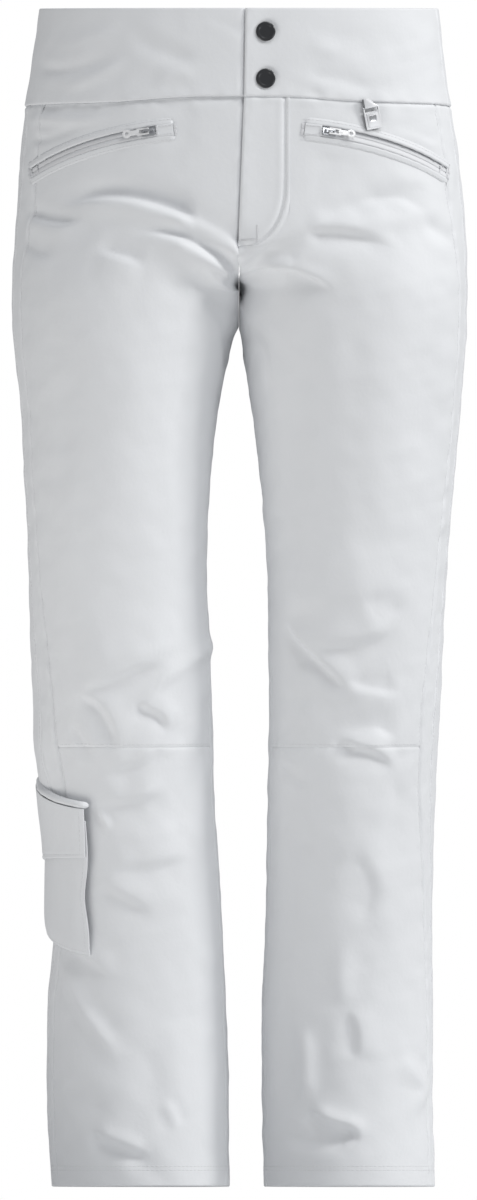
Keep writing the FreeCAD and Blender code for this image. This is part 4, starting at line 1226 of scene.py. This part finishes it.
def charm_body(bm):
    cut_plate(bm, [(-6.9, -19.0), (6.9, -19.0), (7.5, -18.4), (7.5, 0.5), (6.2, 0.5), (6.2, -3.6), (-6.2, -3.6), (-6.2, 0.5), (-7.5, 0.5), (-7.5, -18.4)], -0.8, 0.75, 0.28)
    cut_plate(bm, rounded(-5.3, 5.3, -17.2, -5.0, 0.8), 0.7, 1.05, 0.16)
    cut_plate(bm, rounded(-3.4, 3.4, -12.4, -7.2, 0.5), 0.95, 1.2, 0.10, mat_face=2, mat_side=1)
    ring = [(0.92 * math.cos(a), 0.92 * math.sin(a)) for a in np.arange(12) * PI / 6]
    vs = [[bm.verts.new(tuple((C_AT + C_X * x + C_Y * y + C_Z * z_) * MM)) for y, z_ in ring] for x in (-7.4, 7.4)]
    for i in range(12):
        k = (i + 1) % 12
        f = bm.faces.new((vs[0][i], vs[0][k], vs[1][k], vs[1][i]))
        f.smooth = True
    for v in vs:
        bm.faces.new(v)


def charm_holder(bm):
    cut_plate(bm, [(-5.9, -0.4), (5.6, -0.4), (5.6, 1.4), (1.6, 3.6), (-2.6, 8.2), (-5.9, 8.2)], 1.4, 2.3, 0.22)
    cut_plate(bm, [(-5.6, 0.0), (5.6, 0.0), (5.6, 2.0), (0.0, 8.0), (-5.6, 8.0)], -2.3, -1.4, 0.22)
    cut_plate(bm, [(-5.6, 6.6), (-1.4, 6.6), (-2.4, 8.0), (-5.6, 8.0)], -1.6, 1.6, 0.15)


# slot 1 on both charm pieces is the darker chrome that paints shade on their edges
HW["charm_plate"] = charm_mesh("charm_plate_satin", charm_body, [M_SATIN, M_CHROME_PAINTED_SHADE, M_CHROME], "charm_plate")
HW["charm_loop"] = charm_mesh("charm_holder", charm_holder, [M_SATIN, M_CHROME_PAINTED_SHADE], "charm_loop")

# ------------------------------------------------------------------ snaps: lacquered caps with a dished middle
def lathe(bag, centre, axis, profile, n=48, mat=0):
    """profile: (radius, height along axis)"""
    axis = unit(np.asarray(axis, float))
    u = unit(np.cross(axis, [0.0, 0.0, 1.0]))
    w = np.cross(axis, u)
    ang = np.arange(n) * 2 * PI / n
    V, F = [], []
    for r, h in profile:
        V.append(centre + axis * h + (np.cos(ang)[:, None] * u + np.sin(ang)[:, None] * w) * r)
    V = np.vstack(V)
    for j in range(len(profile) - 1):
        for i in range(n):
            k = (i + 1) % n
            F.append((j * n + i, j * n + k, (j + 1) * n + k, (j + 1) * n + i))
    F.append(tuple(range(n))[::-1])
    F.append(tuple((len(profile) - 1) * n + i for i in range(n)))
    bag.add(V, F, mat)


caps = Bag()
for sx, sz in SNAPS:
    prof = [(1.6, 2.6), (1.6, -0.5), (7.6, -0.5), (8.2, -0.35), (8.5, 0.0), (8.52, 0.35), (8.35, 0.85), (7.9, 1.22), (7.2, 1.42), (6.4, 1.40), (5.9, 1.22), (5.5, 0.98), (4.8, 0.86), (3.2, 0.84), (1.9, 0.9), (1.0, 0.98), (0.3, 1.0)]
    prof = [(1.6, -3.0)] + prof[1:]
    lathe(caps, np.array([sx, -112.35, sz]), (0, -1, 0), prof)
caps = fix_normals(caps.make("snap_cap_domes", [M_BLACK]))
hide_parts("snap_caps")

# ------------------------------------------------------------------ fly zip
fz = Bag()
for sg in (1, -1):
    x0, x1 = 12 + sg * 2.75, 12 + sg * 15
    v = [(x, y, z) for z in (-79.5, -199) for x, y in ((x0, -101.9), (x0, -102.5), (x1, -102.5), (x1, -101.9))]
    fz.add(v, [(0, 1, 2, 3), (7, 6, 5, 4), (0, 4, 5, 1), (1, 5, 6, 2), (2, 6, 7, 3), (3, 7, 4, 0)])
fz = fix_normals(fz.make("fly_zip_cloth", [M_ZTAPE]))
crisp(fz)
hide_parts("fly_zip_tapes")
fc = Bag()
z = -86.0
k = 0
while z > -189.5:
    sg = 1 if k % 2 else -1
    capsule(fc, (12 + sg * 2.7, -101.6, z), (12 - sg * 0.7, -101.9, z - 0.3), 0.5, np.array([0, -1.0, 0]), sides=8)
    z -= 0.8
    k += 1
for sg in (1, -1):
    capsule(fc, (12 + sg * 1.7, -101.5, -80.4), (12 + sg * 1.7, -101.5, -83.6), 1.1, np.array([0, -1.0, 0]), sides=10)
capsule(fc, (9.6, -101.5, -192.2), (14.4, -101.5, -192.2), 1.5, np.array([0, -1.0, 0]), sides=10)
fc = fix_normals(fc.make("fly_zip_coil", [M_COIL]))
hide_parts("fly_zip_teeth")

# ------------------------------------------------------------------ cargo pocket on the right shin
PSI_F, PSI_B = math.radians(64), math.radians(-44)
LO, HI, GG = PI - PSI_F, PI - PSI_B, 1 / 80.0


def patch_point(z0, z1, s0, s1, u, v, off):
    """u from the front edge to the back edge, v from top to bottom."""
    u, v, off = np.broadcast_arrays(np.asarray(u, float), np.asarray(v, float), np.asarray(off, float))
    phi = LO - GG + (HI - LO + 2 * GG) * u
    z = np.full(u.shape, float(z0))
    for _ in range(7):
        y = surf(R, z, phi)[..., 1]
        z = z0 + s0 * y + (z1 + s1 * y - z0 - s0 * y) * v
    P, N = surf(R, z, phi), base_normal(R, z, phi)
    return P + N * off[..., None], N


def closed_patch(name, z0, z1, s0, s1, offset, t, nu, nv, mats, u0=0.0, u1=1.0, bend=None):
    U = np.concatenate([[0, 0.006, 0.014, 0.026, 0.045], np.linspace(0.07, 0.93, nu), [0.955, 0.974, 0.986, 0.994, 1.0]])
    W = np.concatenate([[0, 0.008, 0.02, 0.04, 0.065], np.linspace(0.09, 0.91, nv), [0.935, 0.96, 0.98, 0.992, 1.0]])
    U, W = np.meshgrid(u0 + (u1 - u0) * U, W)
    if bend is not None:
        U, W = bend(U, W)
    off = offset(U, W)
    Q, N = patch_point(z0, z1, s0, s1, U, W, off)
    M = grid_normals(Q, R)
    V, F, fm = thicken(Q.reshape(-1, 3), M.reshape(-1, 3), quads(*U.shape, flip=True), t)
    return mesh_object(name, V, F, None, mats=mats, face_mats=fm)


def soft(d, r):
    return np.sqrt(np.maximum(0.0, 1 - np.maximum(0.0, 1 - d / r) ** 2))


WID, HGT, FH = 135.0, 122.0, 64.0


def pocket_off(U, W):
    d = np.minimum(np.minimum(U, 1 - U) * WID, (1 - W) * HGT)
    h = 0.9 + 2.2 * soft(d, 2.2) + 4.5 * soft(d, 22.0)
    x = U * WID
    y = W * HGT
    h = h + 0.5 * np.sin(x / 17.0 + 1.0) * np.sin(y / 23.0) * soft(d, 14) + 0.35 * np.sin(x / 7.5 + y / 19.0) * soft(d, 14)
    h = h + 0.8 * np.exp(-(((U - 0.14 - 0.02 * np.sin(y / 14)) * WID / 7.0) ** 2)) * soft(d, 10)
    h = h - 0.55 * np.exp(-(((d - 3.6) / 0.9) ** 2))
    return h


def pocket_bend(U, W):
    # the front edge draws in at mid height
    k = (0.050 + 0.024 * np.exp(-(((W - 0.57) / 0.17) ** 2)) - 0.008 * smooth(0.75, 1.0, W)) * (1 - U) ** 1.5
    return U + k, W


pocket = closed_patch("cargo_pouch", -686, -806, 0.29, 0.29, pocket_off, 1.2, 34, 34, mats2, bend=pocket_bend)
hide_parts("cargo_pocket")


def flap_off(U, W):
    d = np.minimum(np.minimum(U, 1 - U) * WID, (1 - W) * FH)
    h = 2.4 + 0.9 * soft(d, 1.6) + 7.5 * soft(np.minimum(U, 1 - U) * WID + 0.4, 20.0) + 0.7 * np.sin(U * WID / 21.0 + 0.6) * W * W + 0.5 * np.sin(U * WID / 9.0 + 2) * W * W
    h = h - 0.45 * np.exp(-(((d - 4.2) / 0.8) ** 2)) + 0.4 * np.exp(-((W - 0.35) / 0.25) ** 2)
    return h


def flap_bend(U, W):
    return U + (0.045 + 0.012 * W) * (1 - U) ** 1.5, W


flap = closed_patch("cargo_flap_cloth", -675, -741, 0.29, -0.05, flap_off, 1.3, 34, 22, mats2, bend=flap_bend)
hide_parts("cargo_flap")

# rolled binding above the flap
bind = Bag()
nu, ns = 70, 20
V, F = [], []
for i, u in enumerate(np.linspace(0.03, 1.0, nu)):
    e = min(u - 0.03, 1 - u) * WID
    r = 1.0 * soft(np.array(e + 0.25), 3.0)
    for k in range(ns):
        a = 2 * PI * k / ns
        zz = -672.0 + 3.0 * r * math.sin(a)
        off = 3.6 + 3.0 * float(soft(np.array(e + 0.2), 14.0)) - 1.6 * smooth(0.35, 0.7, u) + 4.6 * r * math.cos(a) + 0.25 * math.sin(u * 31) + 0.18 * math.sin(u * 77 + 1)
        off = max(off, 1.3)
        P, N = patch_point(zz, zz - 1, 0.29, 0.29, u, 0.0, off)
        V.append(P)
for i in range(nu - 1):
    for k in range(ns):
        m = (k + 1) % ns
        F.append((i * ns + k, i * ns + m, (i + 1) * ns + m, (i + 1) * ns + k))
F.append(tuple(range(ns))[::-1])
F.append(tuple((nu - 1) * ns + k for k in range(ns)))
bind.add(V, F)
binding = fix_normals(bind.make("cargo_rolled_edge", [M_SHELL]))
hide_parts("cargo_binding")

cargo_threads, flap_threads = Bag(), Bag()
tree = bvh_of(pocket)
tree2 = bvh_of(flap)
for inset in (3.6,):
    W = np.linspace(0.04, 1 - inset / HGT, 120)
    Uf = np.full_like(W, inset / WID)
    line_u = np.concatenate([Uf, np.linspace(inset / WID, 1 - inset / WID, 120), Uf * 0 + 1 - inset / WID])
    line_w = np.concatenate([W, np.full(120, 1 - inset / HGT), W[::-1]])
    bu, bw = pocket_bend(line_u, line_w)
    P, N = patch_point(-686, -806, 0.29, 0.29, bu, bw, 9.0)
    stitch(cargo_threads, tree, P, N)
for inset in (4.2,):
    W = np.linspace(0.06, 1 - inset / FH, 60)
    line_u = np.concatenate([np.full(60, inset / WID), np.linspace(inset / WID, 1 - inset / WID, 120), np.full(60, 1 - inset / WID)])
    line_w = np.concatenate([W, np.full(120, 1 - inset / FH), W[::-1]])
    bu, bw = flap_bend(line_u, line_w)
    P, N = patch_point(-675, -741, 0.29, -0.05, bu, bw, 12.0)
    stitch(flap_threads, tree2, P, N)

# ------------------------------------------------------------------ gaiters inside the hems
def sleeve(name, side, levels, t, mat, gathers, amp, nz=26, nphi=240, ribs=0.0):
    lz = np.array([a for a, _ in levels], float)
    lo = np.array([b for _, b in levels], float)
    zs = np.linspace(lz[0], lz[-1], nz)
    off = np.interp(-zs, -lz, lo)
    phi = np.linspace(0, 2 * PI, nphi, endpoint=False)
    V = []
    for layer in (0, 1):
        for j, zv in enumerate(zs):
            f = (zv - zs[0]) / (zs[-1] - zs[0])
            P, N = surf(side, zv, phi), base_normal(side, zv, phi)
            wave = amp * f * (np.sin(gathers * phi + 1.3 * np.sin(3 * phi)) * 0.7 + np.sin(gathers * 1.7 * phi + 2) * 0.3)
            rib = ribs * math.sin(j * PI)
            o = off[j] + t * layer - wave
            V.append(np.stack([P[:, 0] - N[:, 0] * o, P[:, 1] - N[:, 1] * o, np.full(nphi, zv) + 0 * o], 1))
    V = np.vstack(V)
    F = []
    n = nz * nphi
    for j in range(nz - 1):
        for i in range(nphi):
            k = (i + 1) % nphi
            F.append((j * nphi + i, j * nphi + k, (j + 1) * nphi + k, (j + 1) * nphi + i))
            F.append((n + j * nphi + k, n + j * nphi + i, n + (j + 1) * nphi + i, n + (j + 1) * nphi + k))
    for i in range(nphi):
        k = (i + 1) % nphi
        F.append((i, n + i, n + k, k))
        q = (nz - 1) * nphi
        F.append((q + i, q + k, n + q + k, n + q + i))
    return fix_normals(mesh_object(name, V, F, mat))


gait = {}
for side in (R, L):
    nm = NAME[side]
    gait[nm] = sleeve(nm + "_gaiter_cloth", side, [(-868, 3.4), (-900, 5.7), (-940, 10.7), (-985, 16.2)], 0.9, M_LINING, 34, 1.0)
    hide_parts(nm + "_gaiter")
    gait[nm + "_e"] = sleeve(nm + "_gripper", side, [(-985.6, 15.8), (-1005, 17.8)], 1.9, M_ELASTIC, 34, 0.8, nz=14)
    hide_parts(nm + "_gaiter_elastic")

# ------------------------------------------------------------------ inside of the waistband
facing_r = cloth("band_facing_right", R, lambda z: phi_at_x(R, z, 34.0), lambda z: 2 * PI - section(R, z)[6] - 0.004, -1.5, -75, ("none", "none", "none", "none"), [M_LINING, M_LINING], t=0.9, step=3.2, extra=lambda P, z, phi: -2.45 + 0 * P[..., 0])
facing_l = cloth("band_facing_left", L, lambda z: phi_at_x(L, z, 50.0), lambda z: 2 * PI - section(L, z)[6] - 0.004, -1.5, -75, ("none", "none", "none", "none"), [M_LINING, M_LINING], t=0.9, step=3.2, extra=lambda P, z, phi: -2.45 + 0 * P[..., 0])
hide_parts("waistband_facing")

# ------------------------------------------------------------------ which body each piece moves with; the CAD parts they replace are hidden
def leg_blend(o):
    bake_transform(o)


for side in (R, L):
    nm = NAME[side]
    sx = side * 0.1
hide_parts("front_right", "right_knee_panel")
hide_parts("front_left", "left_knee_panel")
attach(made["left_front_hip"], "hips")
for side in (R, L):
    nm = NAME[side]
    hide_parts(nm + "_front_shin")
    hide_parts("side_panel_" + nm, nm + "_side_shin")
    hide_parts("back_" + nm, nm + "_back_shin", nm + "_knee_gusset")
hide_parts("waistband_right")
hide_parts("waist_tab")
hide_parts("waistband_left")
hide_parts("fly_placket")
for key, o in (("right_front", made["right_front"]), ("left_front", made["left_front"])):
    leg_blend(o)
for side in (R, L):
    nm = NAME[side]
    leg_blend(made[nm + "_front_shin"])
    leg_blend(made[nm + "_side"])
    leg_blend(made[nm + "_back"])
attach(made["band_right"], "hips")
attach(made["band_left_back"], "hips")
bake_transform(made["band_left"])
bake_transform(made["placket"])
for nm, side in (("right", R), ("left", L)):
    o = threads[nm + "_leg"].make(nm + "_leg_stitches", [M_THREAD])
    leg_blend(o)
o = threads["fly"].make("fly_stitches", [M_THREAD])
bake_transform(o)
o = threads["hips"].make("fly_tacks", [M_THREAD])
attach(o, "hips")
for k, o in zip_parts.items():
    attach(o, "hips")
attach(caps, "fly_flap")
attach(fz, "hips")
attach(fc, "hips")
for node, body in (("right_zip_slider", "right_slider"), ("left_zip_slider", "left_slider"), ("fly_zip_slider", "fly_slider"), ("right_zip_pull", "right_pull"), ("left_zip_pull", "left_pull"), ("fly_zip_pull", "fly_pull"),
                   ("charm_plate", "charm"), ("charm_loop", "hips"), ("waistband_underlap", "hips"), ("fly_shield", "hips"), ("hang_loop", "hips"), ("right_lace_hook", "right_shin"), ("left_lace_hook", "left_shin")):
    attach(HW[node], body)
for o in (pocket, binding):
    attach(o, "right_shin")
o = cargo_threads.make("cargo_stitches", [M_THREAD])
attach(o, "right_shin")
TOP = patch_point(-675, -741, 0.29, -0.05, 0.5, 0.0, 10.0)[0] * MM
for o in (flap, flap_threads.make("flap_stitches", [M_THREAD])):
    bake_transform(o)
for side in (R, L):
    nm = NAME[side]
    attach(gait[nm], nm + "_shin")
    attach(gait[nm + "_e"], nm + "_shin")
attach(facing_r, "hips")
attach(facing_l, "hips")
for k, o in made.items():
    w, ln, area = o["cut"]
    del o["cut"]
for o in (facing_r, facing_l):
    del o["cut"]

# ------------------------------------------------------------------ light, background and camera
sc = bpy.context.scene
sc.view_settings.view_transform = "Standard"
sc.view_settings.look = "None"
world = bpy.data.worlds.new("studio")
sc.world = world
world.use_nodes = True
wn, wl = world.node_tree.nodes, world.node_tree.links
bg = wn["Background"]
bg.inputs["Color"].default_value = (0.96, 0.975, 1.0, 1)
bg.inputs["Strength"].default_value = 0.4
white = wn.new("ShaderNodeBackground")
white.inputs["Color"].default_value = (1, 1, 1, 1)
white.inputs["Strength"].default_value = 1.0
lp = wn.new("ShaderNodeLightPath")
mix = wn.new("ShaderNodeMixShader")
wl.new(lp.outputs["Is Camera Ray"], mix.inputs["Fac"])
wl.new(bg.outputs["Background"], mix.inputs[1])
wl.new(white.outputs["Background"], mix.inputs[2])
wl.new(mix.outputs["Shader"], wn["World Output"].inputs["Surface"])


def area_light(name, at_, target, size, power, color=(1, 1, 1), size_y=None):
    d = bpy.data.lights.new(name, "AREA")
    d.energy = power
    d.color = color
    d.shape = "RECTANGLE"
    d.size = size
    d.size_y = size_y or size
    o = bpy.data.objects.new(name, d)
    o.location = at_
    o.rotation_euler = (Vector(target) - Vector(at_)).to_track_quat("-Z", "Y").to_euler()
    sc.collection.objects.link(o)
    return o


area_light("key", (4.0, -1.2, 2.0), (0, 0, -0.45), 0.9, 92, (1.0, 0.995, 0.985), 0.9)
area_light("right_low", (2.5, -2.1, -1.2), (0, 0, -0.8), 1.0, 13, (0.97, 0.985, 1.0), 1.2)
area_light("left_low", (-1.5, -1.1, -1.9), (-0.1, 0, -0.85), 1.8, 22, (1.0, 0.985, 0.955), 1.3)
area_light("top", (1.4, -1.9, 3.4), (0, 0, -0.45), 1.6, 54, (0.975, 0.985, 1.0), 1.6)

# a plain pale floor, below what the camera frames
M_FLOOR = material("studio_floor", (0.84, 0.845, 0.85), 0.9, mottle=0.01)
ang = np.arange(64) * 2 * PI / 64
floor = mesh_object("studio_floor", np.stack([620 * np.cos(ang), 620 * np.sin(ang), np.full(64, -1110.0)], 1), [tuple(range(64))], M_FLOOR, smooth_shade=False)

cam_d = bpy.data.cameras.new("camera")
cam = bpy.data.objects.new("camera", cam_d)
sc.collection.objects.link(cam)
cam.location = (-0.0004, -11.0, -0.5137)
cam.rotation_euler = (PI / 2, 0, 0)
cam_d.sensor_fit = "VERTICAL"
cam_d.sensor_height = 36.0
cam_d.lens = 36.0 * 10.92 / 1.044
cam_d.clip_start = 0.1
cam_d.clip_end = 60
sc.camera = cam
